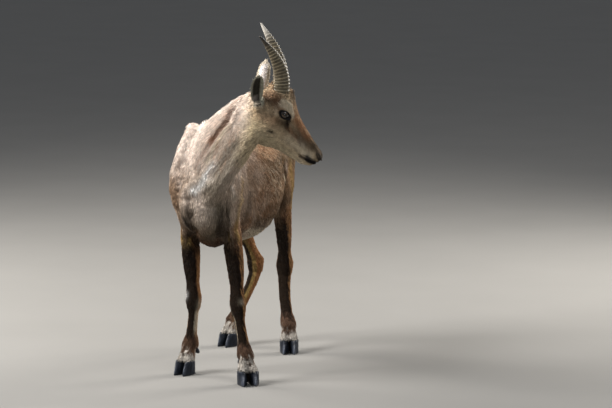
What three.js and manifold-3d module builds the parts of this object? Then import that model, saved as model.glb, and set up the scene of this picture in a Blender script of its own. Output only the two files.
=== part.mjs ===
// An alpine ibex nanny, life size, standing still with its head turned to its left.
// Millimetres, +Z up. The trunk lies along Y with the chest at -Y, and the left side is at +X.
// Every body part is a closed loft of rings round a path, cut clear of its neighbours by GAP.
import * as THREE from "three";
import { mergeVertices } from "three/addons/utils/BufferGeometryUtils.js";
import Module from "manifold-3d";

const wasm = await Module();
wasm.setup();

// Driving dimensions
const GAP = 0.3;
const WITHERS = 734;
const BRISKET = 366;
const BELLY_HALF_WIDTH = 127;
const HORN_RIDGES = 12;
const EYE_RADIUS = 15.5;
const LID_HALF_LENGTH = 15;
const LID_HALF_HEIGHT = 11;
const LID_RADIUS = 2.3;
const CLAW_HEIGHT = 40;
const CLAW_LENGTH = 62;
const CLAW_WIDTH = 30;
const CLAW_SPREAD = 12.6;

// Where the head's own frame stands: +X to the nose, +Y to the animal's left, +Z to the forehead.
const HEAD_AT = [195, -90, 778];
const HEAD_HEADING = 22.4;
const HEAD_PITCH = 42.2;
const HEAD_ROLL = 8.3;

const rad = THREE.MathUtils.degToRad;
const vec = (p) => new THREE.Vector3(...p);
const UP = [0, 0, 1];
const FORWARD = [0, -1, 0];

// Lofts

// Catmull-Rom value of a list of numbers at a place counted in list steps.
function smoothAt(values, place) {
  const last = values.length - 1;
  const i = Math.min(Math.floor(place), last - 1);
  const f = place - i;
  const [a, b, c, d] = [i - 1, i, i + 1, i + 2].map((k) => values[Math.min(Math.max(k, 0), last)]);
  return b + 0.5 * f * (c - a + f * (2 * a - 5 * b + 4 * c - d + f * (3 * (b - c) + d - a)));
}

// A station of a loft at a place between the listed ones.
function stationAt(stations, place) {
  const made = {};
  for (const key of Object.keys(stations[0])) {
    const first = stations[0][key];
    made[key] = Array.isArray(first)
      ? first.map((_, k) => smoothAt(stations.map((s) => s[key][k]), place))
      : smoothAt(stations.map((s) => s[key]), place);
  }
  return made;
}

// How far a point is pushed out by soft round swellings, or in by hollows.
function swelling(point, bumps) {
  let push = 0;
  for (const bump of bumps) {
    const d = bump.at.map((c, k) => (point.getComponent(k) - c) / bump.size[k]);
    push += bump.push * Math.exp(-(d[0] * d[0] + d[1] * d[1] + d[2] * d[2]));
  }
  return push;
}

const power = (value, exponent) => Math.sign(value) * Math.abs(value) ** exponent;

// Rings of a loft. A station has its centre `at`, the half sizes fore, aft, out and inn, where fore
// lies along `front`, and the squareness of each half. The rings stand across the path, or across
// `axis` where one is given.
function ringsOf(stations, { sides, steps, front, axis, side = 1, grow = 0, bumps = [], domes = [0, 0] }) {
  const count = Math.round((stations.length - 1) * steps);
  const places = Array.from({ length: count + 1 }, (_, i) => (i / count) * (stations.length - 1));
  const centres = places.map((p) => vec(stationAt(stations, p).at));
  const ringAt = (i, scale, shift) => {
    const s = stationAt(stations, places[i]);
    const path = centres[Math.min(i + 1, count)].clone().sub(centres[Math.max(i - 1, 0)]);
    const along = axis ? vec(axis) : path.normalize();
    const fore = vec(s.front ?? front);
    fore.addScaledVector(along, -fore.dot(along)).normalize();
    const out = new THREE.Vector3().crossVectors(fore, along).multiplyScalar(side);
    const centre = centres[i].clone().addScaledVector(along, shift);
    return Array.from({ length: sides }, (_, k) => {
      const angle = (2 * Math.PI * k) / sides;
      const [c, w] = [Math.cos(angle), Math.sin(angle)];
      const square = 2 / (c > 0 ? s.squareFore : s.squareAft);
      const f = power(c, square) * ((c > 0 ? s.fore : s.aft) * scale + grow);
      const l = power(w, square) * ((w > 0 ? s.out : s.inn) * scale + grow);
      const point = centre.clone().addScaledVector(fore, f).addScaledVector(out, l);
      const radial = point.clone().sub(centre).normalize();
      point.addScaledVector(along, (s.lean ?? 0) * f);
      return point.addScaledVector(radial, swelling(point, bumps) * Math.min(1, scale * 1.2));
    });
  };
  const endShift = (i) => (i === 0 && !domes[0] ? -grow : i === count && !domes[1] ? grow : 0);
  const rings = places.map((_, i) => ringAt(i, 1, endShift(i)));
  const dome = (i, length) =>
    [0.35, 0.68, 0.9].map((t) => ringAt(i, Math.sqrt(1 - t * t), (length + Math.sign(length) * grow) * t));
  if (domes[0]) rings.unshift(...dome(0, -domes[0]).reverse());
  if (domes[1]) rings.push(...dome(count, domes[1]));
  return rings;
}

// A closed solid from points and triangles, turned face out where they face in.
function solidOf(points, faces) {
  const geometry = new THREE.BufferGeometry().setFromPoints(points).setIndex(faces);
  return fromGeometry(geometry);
}

function fromGeometry(geometry) {
  const bare = geometry.clone();
  bare.deleteAttribute("normal");
  bare.deleteAttribute("uv");
  const merged = mergeVertices(bare, 1e-3);
  const vertProperties = new Float32Array(merged.attributes.position.array);
  const triVerts = new Uint32Array(merged.index.array);
  const make = () => new wasm.Manifold(new wasm.Mesh({ numProp: 3, vertProperties, triVerts }));
  const made = make();
  if (made.volume() > 0) return made;
  for (let i = 0; i < triVerts.length; i += 3) {
    [triVerts[i], triVerts[i + 1]] = [triVerts[i + 1], triVerts[i]];
  }
  return make();
}

// The solid of rings that follow each other, closed by a fan at each end, or round on themselves.
function solidOfRings(rings, closed = false) {
  const sides = rings[0].length;
  const points = rings.flat();
  const faces = [];
  const spans = closed ? rings.length : rings.length - 1;
  for (let r = 0; r < spans; r++) {
    const next = ((r + 1) % rings.length) * sides;
    for (let s = 0; s < sides; s++) {
      const [a, b] = [r * sides + s, r * sides + ((s + 1) % sides)];
      const [c, d] = [next + s, next + ((s + 1) % sides)];
      if ((r + s) % 2) faces.push(a, b, c, b, d, c);
      else faces.push(a, b, d, a, d, c);
    }
  }
  if (!closed)
    for (const [ring, flip] of [[0, true], [rings.length - 1, false]]) {
      const centre = rings[ring].reduce((sum, p) => sum.add(p), vec([0, 0, 0])).divideScalar(sides);
      points.push(centre);
      for (let s = 0; s < sides; s++) {
        const [a, b] = [ring * sides + s, ring * sides + ((s + 1) % sides)];
        if (flip) faces.push(points.length - 1, b, a);
        else faces.push(points.length - 1, a, b);
      }
    }
  return solidOf(points, faces);
}

const loft = (stations, options) => solidOfRings(ringsOf(stations, options));

// A round tube through points, with a radius at each, that may close on itself.
function roundTube(points, radii, sides, closed = false, steps = 1.5) {
  const curve = new THREE.CatmullRomCurve3(points.map(vec), closed);
  const count = Math.round((closed ? points.length : points.length - 1) * steps);
  const rings = Array.from({ length: closed ? count : count + 1 }, (_, i) => {
    const t = i / count;
    const centre = curve.getPoint(t);
    const along = curve.getTangent(t);
    const across = new THREE.Vector3().crossVectors(along, vec([0.31, 0.2, 0.93])).normalize();
    const over = new THREE.Vector3().crossVectors(along, across);
    const radius = closed ? radii[0] : smoothAt(radii, t * (radii.length - 1));
    return Array.from({ length: sides }, (_, k) => {
      const angle = (2 * Math.PI * k) / sides;
      return centre
        .clone()
        .addScaledVector(across, radius * Math.cos(angle))
        .addScaledVector(over, radius * Math.sin(angle));
    });
  });
  return solidOfRings(rings, closed);
}

const largest = (solid) => {
  const bodies = solid.decompose();
  return bodies.reduce((best, one) => (one.volume() > best.volume() ? one : best), bodies[0]);
};
const without = (solid, ...cutters) => largest(cutters.reduce((left, c) => left.subtract(c), solid));
const joined = (...solids) => solids.reduce((sum, one) => sum.add(one));
const mirrored = (bumps) => bumps.concat(bumps.map((b) => ({ ...b, at: [b.at[0], -b.at[1], b.at[2]] })));

// Trunk

const trunkStation = ([y, top, middle, bottom, half, squareFore, squareAft]) => ({
  at: [0, y, middle],
  fore: top - middle,
  aft: middle - bottom,
  out: half,
  inn: half,
  squareFore,
  squareAft,
});

// Place along Y, back line, height of the widest level, underline, half width, squareness.
const TRUNK = [
  [-62, 600, 512, 436, 56, 2, 2],
  [-20, 680, 520, 392, 80, 1.9, 1.8],
  [45, WITHERS, 525, BRISKET, 92, 2.1, 1.7],
  [115, WITHERS - 6, 520, BRISKET - 3, 104, 1.85, 1.85],
  [190, 716, 514, BRISKET - 6, 119, 1.75, 2],
  [265, 708, 512, 358, BELLY_HALF_WIDTH, 1.8, 2.05],
  [335, 708, 518, 374, 118, 1.8, 2.05],
  [400, 714, 545, 422, 102, 1.8, 2],
  [460, 718, 575, 476, 92, 1.85, 2],
  [515, 708, 595, 520, 73, 1.9, 2],
  [560, 684, 603, 548, 55, 2, 2],
].map(trunkStation);

const TRUNK_BUMPS = [
  { at: [98, 420, 625], size: [26, 30, 24], push: 9 },
  { at: [-98, 420, 625], size: [26, 30, 24], push: 9 },
  { at: [92, 375, 590], size: [40, 26, 34], push: -9 },
  { at: [-92, 375, 590], size: [40, 26, 34], push: -9 },
];
const trunkLoft = () =>
  loft(TRUNK, { sides: 24, steps: 1.5, front: UP, axis: [0, 1, 0], bumps: TRUNK_BUMPS, domes: [26, 20] });

// Neck: centre, half size to the nape, to the throat, to the left and to the right.
const neckStation = ([at, nape, throat, left, right]) => ({
  at,
  fore: nape,
  aft: throat,
  out: left,
  inn: right,
  squareFore: 1.85,
  squareAft: 2.1,
});
const NECK = [
  [[-2, 84, 588], 84, 124, 72, 58],
  [[2, 36, 604], 92, 146, 80, 62],
  [[24, -10, 634], 100, 146, 77, 60],
  [[66, -42, 674], 102, 120, 65, 54],
  [[116, -68, 716], 92, 88, 55, 48],
  [[162, -84, 752], 82, 72, 48, 44],
  [[200, -86, 774], 74, 56, 38, 37],
].map(neckStation);
const neckLoft = () => loft(NECK, { sides: 20, steps: 1.6, front: [0, 0.25, 1], domes: [10, 20] });

// Legs

// Sizes at places along a leg, counted in joints: [place, fore, aft, outer, inner].
const FORELEG_SECTIONS = [
  [0, 28, 26, 23, 24],
  [0.5, 50, 46, 30, 40],
  [1, 62, 68, 32, 50],
  [1.5, 62, 78, 34, 50],
  [2, 50, 74, 32, 44],
  [2.5, 40, 60, 23, 34],
  [3, 34, 48, 27, 28],
  [3.5, 31, 36, 26.5, 25.5],
  [4, 26, 28, 24, 23],
  [4.5, 22, 23, 21, 20.5],
  [5, 22.5, 21, 22, 22],
  [5.5, 18, 18.5, 18.5, 18.5],
  [6, 17, 18, 18, 18],
  [6.5, 18.5, 20, 20, 20],
  [7, 21, 23, 24, 24],
];
const HINDLEG_SECTIONS = [
  [0, 50, 48, 20, 34],
  [0.5, 80, 70, 27, 48],
  [1, 96, 82, 27, 58],
  [1.5, 98, 88, 29, 60],
  [2, 88, 82, 32, 54],
  [2.5, 70, 66, 30, 40],
  [3, 53, 50, 27, 31],
  [3.5, 38, 34, 25, 26],
  [4, 29, 26, 22, 22],
  [4.5, 24, 27, 21, 21],
  [5, 24, 27, 24, 24],
  [5.5, 20.5, 22, 22, 22],
  [6, 19, 21, 21, 21],
  [6.5, 19, 20.5, 20.5, 20.5],
  [7, 21, 23, 23, 23],
];

// Each leg: its side, the centres of its joints from the top down, and how far the toes turn out.
const LEGS = {
  foreleg_right: {
    side: -1,
    sections: FORELEG_SECTIONS,
    toe: 12,
    splay: 0,
    joints: [
      [-60, 60, 704],
      [-81, 16, 575],
      [-66, 12, 480],
      [-66, 44, 400],
      [-61, 48, 305],
      [-53, 42, 214],
      [-58, 44, 148],
      [-67, 46, 80],
    ],
  },
  foreleg_left: {
    side: 1,
    sections: FORELEG_SECTIONS,
    toe: 36,
    splay: 3,
    joints: [
      [60, 60, 704],
      [70, 12, 575],
      [70, 6, 480],
      [68, 30, 400],
      [84, 20, 305],
      [98, 0, 214],
      [115, -18, 148],
      [135, -36, 76],
    ],
  },
  hindleg_right: {
    side: -1,
    sections: HINDLEG_SECTIONS,
    toe: 18,
    splay: 0,
    joints: [
      [-52, 502, 668],
      [-67, 480, 590],
      [-76, 452, 508],
      [-74, 452, 430],
      [-69, 490, 330],
      [-54, 544, 238],
      [-71, 518, 158],
      [-102, 484, 80],
    ],
  },
  hindleg_left: {
    side: 1,
    sections: HINDLEG_SECTIONS,
    toe: 24,
    splay: 0,
    joints: [
      [50, 502, 668],
      [60, 474, 590],
      [67, 446, 508],
      [67, 446, 430],
      [58, 484, 330],
      [46, 520, 238],
      [60, 482, 158],
      [88, 440, 78],
    ],
  },
};

// A leg's loft stations, one at each listed place.
function legStations(leg) {
  return leg.sections.map(([place, fore, aft, out, inn]) => ({
    at: [0, 1, 2].map((k) => smoothAt(leg.joints.map((j) => j[k]), place)),
    fore,
    aft,
    out,
    inn,
    squareFore: 2.1,
    squareAft: 2.1,
  }));
}

// Swellings of the joints: the knee and the point of the elbow, or the hock and its point.
function legBumps(leg) {
  const from = (joint, dy, dz) => [joint[0], joint[1] + dy, joint[2] + dz];
  const [elbow, knee] = [leg.joints[3], leg.joints[5]];
  return leg.sections === HINDLEG_SECTIONS
    ? [
        { at: from(knee, 34, 20), size: [14, 22, 22], push: 17 },
        { at: from(knee, -20, -6), size: [16, 16, 26], push: 3 },
      ]
    : [
        { at: from(knee, -18, 2), size: [20, 20, 26], push: 3 },
        { at: from(elbow, 52, 22), size: [22, 26, 30], push: 8 },
      ];
}

const legLoft = (leg, grow) =>
  loft(legStations(leg), {
    sides: 12,
    steps: 1.15,
    front: FORWARD,
    axis: [0, 0, -1],
    side: leg.side,
    bumps: legBumps(leg),
    grow,
    domes: [20, 12],
  });

// Feet: a foot's frame has +X to the toes and +Y outward, with its origin on the floor below the fetlock.
function footFrame(leg) {
  const [x, y] = leg.joints[7];
  const heading = -90 + leg.side * leg.toe;
  return new THREE.Matrix4()
    .makeTranslation(x, y, 0)
    .multiply(new THREE.Matrix4().makeRotationZ(rad(heading)));
}

const placed = (solid, matrix) => solid.transform(matrix.elements);

// Levels of a digit from the fetlock down: how far forward and outward it stands, its share of the
// foot's splay, its height over the fetlock's or the coronet's level, and its half sizes. The two
// meet in the middle, where hair fills the cleft.
const DIGIT_LEVELS = [
  { forward: 2, outward: 8, splayed: 0, overFetlock: 6, fore: 15, aft: 17, half: 11, inner: 11 },
  { forward: 10, outward: 10, splayed: 0.3, overFetlock: -16, fore: 17, aft: 17, half: 12.5, inner: 13 },
  { forward: 20, outward: 13, splayed: 0.7, overCoronet: 6, fore: 18, aft: 19, half: 13.5, inner: 17 },
  { forward: 24, outward: 14, splayed: 0.8, overCoronet: -4, fore: 19, aft: 20, half: 13.5, inner: 17.5 },
];

// A digit leans out at its foot, and is cut level where the claw begins.
function digit(way, fetlockHeight, splay) {
  const stations = DIGIT_LEVELS.map((level) => ({
    at: [
      level.forward,
      way * (level.outward + level.splayed * splay),
      "overFetlock" in level ? fetlockHeight + level.overFetlock : CLAW_HEIGHT + level.overCoronet,
    ],
    fore: level.fore,
    aft: level.aft,
    out: way > 0 ? level.half : level.inner,
    inn: way > 0 ? level.inner : level.half,
    squareFore: 2,
    squareAft: 2,
  }));
  return loft(stations, { sides: 12, steps: 1, front: [1, 0, 0], axis: [0, 0, -1] });
}

// A claw's outline seen from above: a pointed toe, a convex outer wall, a round heel and a flat
// inner wall.
const CLAW_OUTLINE = [
  [1, 0],
  [0.78, 0.42],
  [0.4, 0.8],
  [0, 1],
  [-0.45, 0.98],
  [-0.82, 0.7],
  [-1, 0.1],
  [-0.9, -0.5],
  [-0.5, -0.78],
  [0, -0.74],
  [0.45, -0.6],
  [0.8, -0.32],
];
const CLAW_TOE_OUT = 2.5;

// That outline at one height of a claw.
function clawRing(height, heel, toe, halfWidth, way, splay) {
  const [middle, reach] = [(toe + heel) / 2, (toe - heel) / 2];
  const outside = CLAW_SPREAD + CLAW_WIDTH / 2 - halfWidth + splay;
  return CLAW_OUTLINE.map(([u, v]) => vec([
    middle + u * reach,
    way * (outside + v * halfWidth + Math.max(0, u) * CLAW_TOE_OUT),
    height,
  ]));
}

// Levels of a claw: share of its height, how far its heel stands in, share of its length, and how
// much its half width is less.
const CLAW_LEVELS = [
  [0, 0, 1, 0],
  [0.1, -1, 1.01, -0.5],
  [0.55, 1, 0.9, 0.3],
  [0.85, 3, 0.78, 1],
  [1, 6, 0.68, 2.5],
];
const CLAW_HEEL = 2;

const claw = (way, splay) =>
  solidOfRings(
    CLAW_LEVELS.map(([height, heel, reach, less]) =>
      clawRing(
        CLAW_HEIGHT * height,
        CLAW_HEEL + heel,
        CLAW_HEEL + CLAW_LENGTH * reach,
        CLAW_WIDTH / 2 - less,
        way,
        splay,
      ),
    ),
  );

// A dewclaw behind the fetlock: a short blunt horn that points down and back.
function dewclaw(way, fetlockHeight, grow = 0) {
  const root = [-10 + grow, 10 * way, fetlockHeight - 10 + grow];
  const tip = [-26 - grow, 13 * way, fetlockHeight - 26 - grow];
  const mid = root.map((c, k) => c * 0.45 + tip[k] * 0.55);
  const radii = [8, 8, 3.5].map((r) => r + grow);
  return roundTube([root, mid, tip], radii, 6);
}

// All within reach on the side of a plane to which its normal points.
function halfSpace(at, normal, reach, shift = 0) {
  const turn = new THREE.Quaternion().setFromUnitVectors(vec(UP), vec(normal).normalize());
  const size = reach + 2 * shift;
  const half = new THREE.BoxGeometry(size, size, size).translate(0, 0, reach / 2);
  return fromGeometry(half.applyQuaternion(turn).translate(...at));
}

// Parts a solid in two: what lies in a region, and what lies GAP clear of it.
const split = (solid, region) => [largest(solid.intersect(region(0))), largest(solid.subtract(region(GAP)))];

// Head, in its own frame

const headStation = ([x, top, middle, bottom, half, squareFore, squareAft, lean]) => ({
  at: [x, 0, middle],
  fore: top - middle,
  aft: middle - bottom,
  out: half,
  inn: half,
  squareFore,
  squareAft,
  lean,
});

// Place along the head, top, height of the widest level, bottom, half width, squareness, lean.
const HEAD = [
  [-36, 44, 6, -34, 30, 2, 2, 0],
  [-24, 62, 14, -50, 41, 2, 2, 0],
  [-2, 84, 24, -61, 49, 2.1, 2, 0],
  [24, 105, 30, -69, 51, 2.1, 1.9, 0],
  [50, 97, 32, -70, 49, 2.2, 1.8, 0],
  [74, 80, 24, -64, 43, 2.1, 1.8, 0],
  [100, 67, 15, -53, 36, 2, 1.9, 0],
  [130, 57, 12, -42, 29.5, 2, 2, 0],
  [158, 48, 9, -34, 26, 2, 2.1, 0.05],
  [180, 42, 8, -29, 25, 2.1, 2.2, 0.15],
  [197, 35, 7, -24, 24, 2.2, 2.3, 0.25],
  [207, 27, 6, -19, 20, 2.2, 2.2, 0.3],
].map(headStation);

const EYE = [51, 38, 54];
const HEAD_BUMPS = mirrored([
  { at: [51, 50, 57], size: [27, 22, 22], push: 7 },
  { at: [50, 40, 79], size: [26, 18, 13], push: 5 },
  { at: [4, 36, 72], size: [28, 20, 22], push: 9 },
  { at: [30, 48, -14], size: [46, 22, 34], push: 4 },
  { at: [96, 34, 34], size: [24, 16, 16], push: -5 },
  { at: [14, 50, 44], size: [20, 18, 16], push: -5 },
  { at: [194, 20, 25], size: [14, 12, 11], push: 3.5 },
  { at: [192, 24, 3], size: [20, 12, 9], push: 2 },
  { at: [16, 30, -58], size: [32, 22, 16], push: 3 },
]).concat([
  { at: [100, 0, -50], size: [52, 14, 14], push: -7 },
  { at: [186, 0, -28], size: [20, 18, 10], push: 3 },
  { at: [26, 0, 108], size: [22, 26, 14], push: 6 },
]);
const headLoft = () =>
  loft(HEAD, { sides: 22, steps: 1.5, front: UP, axis: [1, 0, 0], bumps: HEAD_BUMPS, domes: [10, 9] });
const headSolid = () => without(headLoft(), lidOpening(-1), lidOpening(1));

const EYE_ROWS = 7;
function eyeball(centre, radius) {
  const sphere = new THREE.SphereGeometry(radius, EYE_ROWS * 2, EYE_ROWS);
  sphere.translate(...centre);
  return fromGeometry(sphere);
}

// An almond round the eye, with each of its twelve points lifted out from the eyeball's centre.
function almond(way, scale, liftAt) {
  const out = vec([0.2, way, 0.15]).normalize();
  const along = vec([1, -0.2 * way, -0.14]);
  along.addScaledVector(out, -along.dot(out)).normalize();
  const over = new THREE.Vector3().crossVectors(out, along);
  return Array.from({ length: 12 }, (_, i) => {
    const angle = (2 * Math.PI * i) / 12;
    const u = LID_HALF_LENGTH * scale * Math.cos(angle);
    const v = LID_HALF_HEIGHT * scale * Math.sin(angle) * (1 - 0.2 * Math.abs(Math.cos(angle)));
    return vec([EYE[0], EYE[1] * way, EYE[2]])
      .addScaledVector(along, u)
      .addScaledVector(over, v)
      .addScaledVector(out, liftAt(u, v));
  });
}

// The rim of the lids: a round edge that lies on the eyeball.
function lids(way) {
  const rest = EYE_RADIUS + 1;
  const loop = almond(way, 1, (u, v) => Math.sqrt(rest * rest - u * u - v * v));
  return roundTube(loop.map((point) => point.toArray()), [LID_RADIUS], 6, true, 1);
}

// What is open between the lids, widening outward.
const lidOpening = (way) =>
  solidOfRings([
    almond(way, 0.95, () => 2),
    almond(way, 0.95, () => EYE_RADIUS * 0.55),
    almond(way, 1.35, () => EYE_RADIUS + 2),
    almond(way, 1.8, () => EYE_RADIUS + 16),
  ]);

// The line between the lips, from one corner of the mouth round the front to the other.
function mouthLine() {
  const half = [
    [166, 26.5, -6],
    [180, 26.5, -3],
    [194, 25, 0],
    [206, 20, 3],
    [212, 11, 4.5],
  ];
  const points = [...half, [215, 0, 5], ...half.map(([x, y, z]) => [x, -y, z]).reverse()];
  return roundTube(points, [1.2, 2.6, 2.8, 2.8, 2.8, 2.8, 2.8, 1.2], 6);
}

// A comma-shaped nostril.
const nostril = (way) =>
  roundTube(
    [
      [214, 8 * way, 20],
      [210, 14 * way, 23],
      [203, 19 * way, 27],
      [193, 23 * way, 30],
    ],
    [3.8, 5.4, 4.4, 2],
    6,
  );

// Horn path in the head's frame, with the half sizes fore and aft and sideways at each point.
const HORN_PATH = [
  [10, 24, 70],
  [6, 29, 90],
  [-14, 33, 117],
  [-42, 38, 140],
  [-76, 46, 157],
  [-110, 57, 168],
  [-146, 70, 176],
];
const HORN_DEPTHS = [20.5, 21.5, 20.8, 19, 14.8, 9, 2.4];
const HORN_HALF_WIDTHS = [15.5, 16.5, 15.4, 13.3, 10.5, 6.6, 2.2];
const FIRST_RIDGE = 1.1;
const LAST_RIDGE = 5;

// The left horn stands a little further back than the right one, and ends higher.
const leftLean = (place) => [-4 - 1.1 * place, 0, 0.2 * place * place - 5];

// A horn's station at a place along its path, swelled all round, in front, and by its ridge.
function hornStation(way, place, thick, front, ridge) {
  const lean = way > 0 ? leftLean(place) : [0, 0, 0];
  const at = [0, 1, 2].map((k) => smoothAt(HORN_PATH.map((p) => p[k]), place) + lean[k]);
  const depth = smoothAt(HORN_DEPTHS, place) + thick;
  const half = smoothAt(HORN_HALF_WIDTHS, place) + thick;
  return {
    at: [at[0], at[1] * way, at[2]],
    fore: depth + front + ridge,
    aft: depth,
    out: half + ridge,
    inn: half + ridge,
    squareFore: 2.3,
    squareAft: 2,
  };
}

function horn(way, grow = 0) {
  const ridgeAt = (place) => {
    const turns = ((place - FIRST_RIDGE) / (LAST_RIDGE - FIRST_RIDGE)) * HORN_RIDGES;
    const ridged = place > FIRST_RIDGE && place < LAST_RIDGE;
    return ridged ? 1.5 * Math.max(0, Math.cos(2 * Math.PI * turns)) : 0;
  };
  const count = Math.round(3.4 * HORN_RIDGES);
  const last = HORN_PATH.length - 1;
  const places = Array.from({ length: count + 1 }, (_, i) => (last * i) / count);
  const stations = places.map((place) => hornStation(way, place, 0, 0, ridgeAt(place)));
  return loft(stations, { sides: 10, steps: 1, front: [1, 0, 0.4], grow });
}

// The collar of hair round a horn's root, highest in front: place along the horn, and how far it
// stands out in front and round the rest.
const HORN_COLLAR = [
  [0, 9, 8],
  [0.5, 8.5, 7],
  [0.9, 7, 5],
  [1.2, 5, 3],
];
const hornCollar = (way) =>
  loft(
    HORN_COLLAR.map(([place, front, rest]) => hornStation(way, place, rest, front - rest, 0)),
    { sides: 12, steps: 1, front: [1, 0, 0.4] },
  );

// An ear: a leaf curled into a cup. Each ear's tip and the way its opening faces are its own.
const EAR = {
  root: [-10, 36, 11],
  halfWidth: 18.5,
  cup: 14,
  wall: 3.4,
  bend: 7,
  clearance: 1,
  right: { tip: [-78, -97, 99], opening: [0.62, -0.78, -0.07] },
  left: { tip: [-74, 97, 106], opening: [0.42, 0.84, -0.3] },
};

function ear(way, grow = 0) {
  const own = way < 0 ? EAR.right : EAR.left;
  const root = vec([EAR.root[0], EAR.root[1] * way, EAR.root[2]]);
  const length = vec(own.tip).distanceTo(root);
  const along = vec(own.tip).sub(root).normalize();
  const open = vec(own.opening);
  open.addScaledVector(along, -open.dot(along)).normalize();
  const across = new THREE.Vector3().crossVectors(along, open);
  const widths = [0.6, 0.74, 0.9, 1, 1.02, 0.95, 0.74, 0.26];
  const cups = [0, 0.2, 0.9, 1, 0.9, 0.65, 0.3, 0.02];
  const walls = [22, 20, 8, EAR.wall, EAR.wall, EAR.wall, 3, 2.4];
  const rings = widths.map((_, i) => {
    const t = i / (widths.length - 1);
    const half = EAR.halfWidth * widths[i] + grow;
    const deep = EAR.cup * cups[i];
    const shift = t === 0 ? -grow : t === 1 ? grow : 0;
    const centre = root
      .clone()
      .addScaledVector(along, length * t + shift)
      .addScaledVector(open, -EAR.bend * Math.sin(Math.PI * t));
    const at = (v, lift) =>
      centre.clone().addScaledVector(across, half * v).addScaledVector(open, lift - deep * (1 - v * v));
    const lift = (v) => walls[i] * (1 - v * v) * 0.5 + grow;
    const back = [-1, -0.72, -0.36, 0, 0.36, 0.72, 1].map((v) => at(v, -lift(v)));
    const front = [0.9, 0.6, 0.25, -0.25, -0.6, -0.9].map((v) => at(v, lift(v) + 0.8));
    return back.concat(front);
  });
  return solidOfRings(rings);
}

function headFrame() {
  const turn = new THREE.Matrix4()
    .makeRotationZ(rad(HEAD_HEADING))
    .multiply(new THREE.Matrix4().makeRotationY(rad(HEAD_PITCH)))
    .multiply(new THREE.Matrix4().makeRotationX(rad(HEAD_ROLL)));
  return turn.setPosition(...HEAD_AT);
}

// Tail: a short flat strip with locks along its edges and tip.
const TAIL = [
  { at: [0, 540, 668], fore: 17, aft: 17, out: 20, inn: 20, squareFore: 2, squareAft: 2 },
  { at: [0, 566, 664], fore: 13, aft: 13, out: 19, inn: 19, squareFore: 2, squareAft: 2 },
  { at: [2, 588, 640], fore: 9, aft: 10, out: 17, inn: 17, squareFore: 2, squareAft: 2 },
  { at: [4, 598, 606], fore: 6, aft: 7, out: 13, inn: 13, squareFore: 2, squareAft: 2 },
  { at: [5, 598, 580], fore: 3, aft: 3.5, out: 7, inn: 7, squareFore: 2, squareAft: 2 },
];
const tailLoft = (grow) => loft(TAIL, { sides: 10, steps: 1.25, front: UP, grow, domes: [4, 4] });

// A flat tapered lock that bends from its root, along `lie`, towards the ground.
function lock(root, lie, across, length, width) {
  const [a, b] = [vec(lie).normalize(), vec(across).normalize()];
  const over = new THREE.Vector3().crossVectors(a, b);
  const shape = [
    [-0.16, 0.7, 0],
    [0.15, 1, 0],
    [0.45, 0.86, 0.02],
    [0.75, 0.52, 0.08],
    [1, 0.1, 0.2],
  ];
  const rings = shape.map(([t, w, droop]) =>
    [[-1, 0], [0, 1], [1, 0], [0, -1]].map(([p, q]) =>
      vec(root)
        .addScaledVector(a, length * t)
        .addScaledVector(b, (p * width * w) / 2)
        .addScaledVector(over, q * 1.8 * w)
        .add(vec([0, 0, -droop * length])),
    ),
  );
  return solidOfRings(rings);
}

function tailLocks() {
  const locks = [];
  for (let i = 0; i < 5; i++) {
    const place = 1.9 + i * 0.42;
    const s = stationAt(TAIL, place);
    for (const way of [-1, 1]) {
      const root = [s.at[0] + way * s.out * 0.5, s.at[1] + 4, s.at[2] - 2];
      const lie = [way * (0.5 - 0.08 * i), 0.35 - 0.1 * i, -1];
      locks.push(lock(root, lie, [1, 0, way * 0.4], 44 - 2 * i, 17));
    }
  }
  locks.push(lock([5, 600, 590], [0, -0.05, -1], [1, 0, 0], 42, 15));
  return locks;
}

// Assembly

const finishes = {
  coat: { color: 0xb59a7c, roughness: 0.9, metalness: 0 },
  flank: { color: 0x9a7653, roughness: 0.9, metalness: 0 },
  leg: { color: 0x4c3528, roughness: 0.85, metalness: 0 },
  horn: { color: 0x7a6a4a, roughness: 0.6, metalness: 0 },
  hoof: { color: 0x3a3d46, roughness: 0.5, metalness: 0 },
  eye: { color: 0x2a1c10, roughness: 0.1, metalness: 0 },
};

const ibex = new THREE.Group();

function add(name, solid, finish) {
  const mesh = solid.getMesh();
  const points = [];
  for (let i = 0; i < mesh.numVert; i++)
    points.push(vec(mesh.vertProperties.subarray(i * mesh.numProp, i * mesh.numProp + 3)));
  const geometry = new THREE.BufferGeometry().setFromPoints(points);
  geometry.setIndex([...mesh.triVerts]);
  geometry.computeVertexNormals();
  const made = new THREE.Mesh(geometry, new THREE.MeshStandardMaterial(finishes[finish]));
  made.name = name;
  ibex.add(made);
}

// Where the body is parted: the planes behind the jaw and at the root of the neck, and how far
// outside a leg its seam lies.
const headMatrix = headFrame();
const HEAD_SEAM = [
  vec([-10, 0, -9]).applyMatrix4(headMatrix).toArray(),
  vec([1, 0, 0.9]).transformDirection(headMatrix).toArray(),
  300,
];
const NECK_SEAM = [[0, -8, 645], [0.3, -0.75, 0.55], 600];
const LEG_SEAM = 9;
const HOCK_REACH = 400;
const CUT_REACH = 2000;
const SIDES = { right: -1, left: 1 };

// The lids and horn collars that join the head, and all that is cut from it.
function headWork() {
  const extras = [];
  const cuts = [mouthLine()];
  for (const [name, way] of Object.entries(SIDES)) {
    const centre = [EYE[0], EYE[1] * way, EYE[2]];
    extras.push(placed(lids(way), headMatrix), placed(hornCollar(way), headMatrix));
    cuts.push(eyeball(centre, EYE_RADIUS + GAP), nostril(way));
    cuts.push(horn(way, GAP), ear(way, EAR.clearance));
    add(`eye_${name}`, placed(eyeball(centre, EYE_RADIUS), headMatrix), "eye");
    add(`horn_${name}`, placed(horn(way), headMatrix), "horn");
    add(`ear_${name}`, placed(ear(way), headMatrix), "coat");
  }
  return { extras, cuts: cuts.map((c) => placed(c, headMatrix)) };
}

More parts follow.
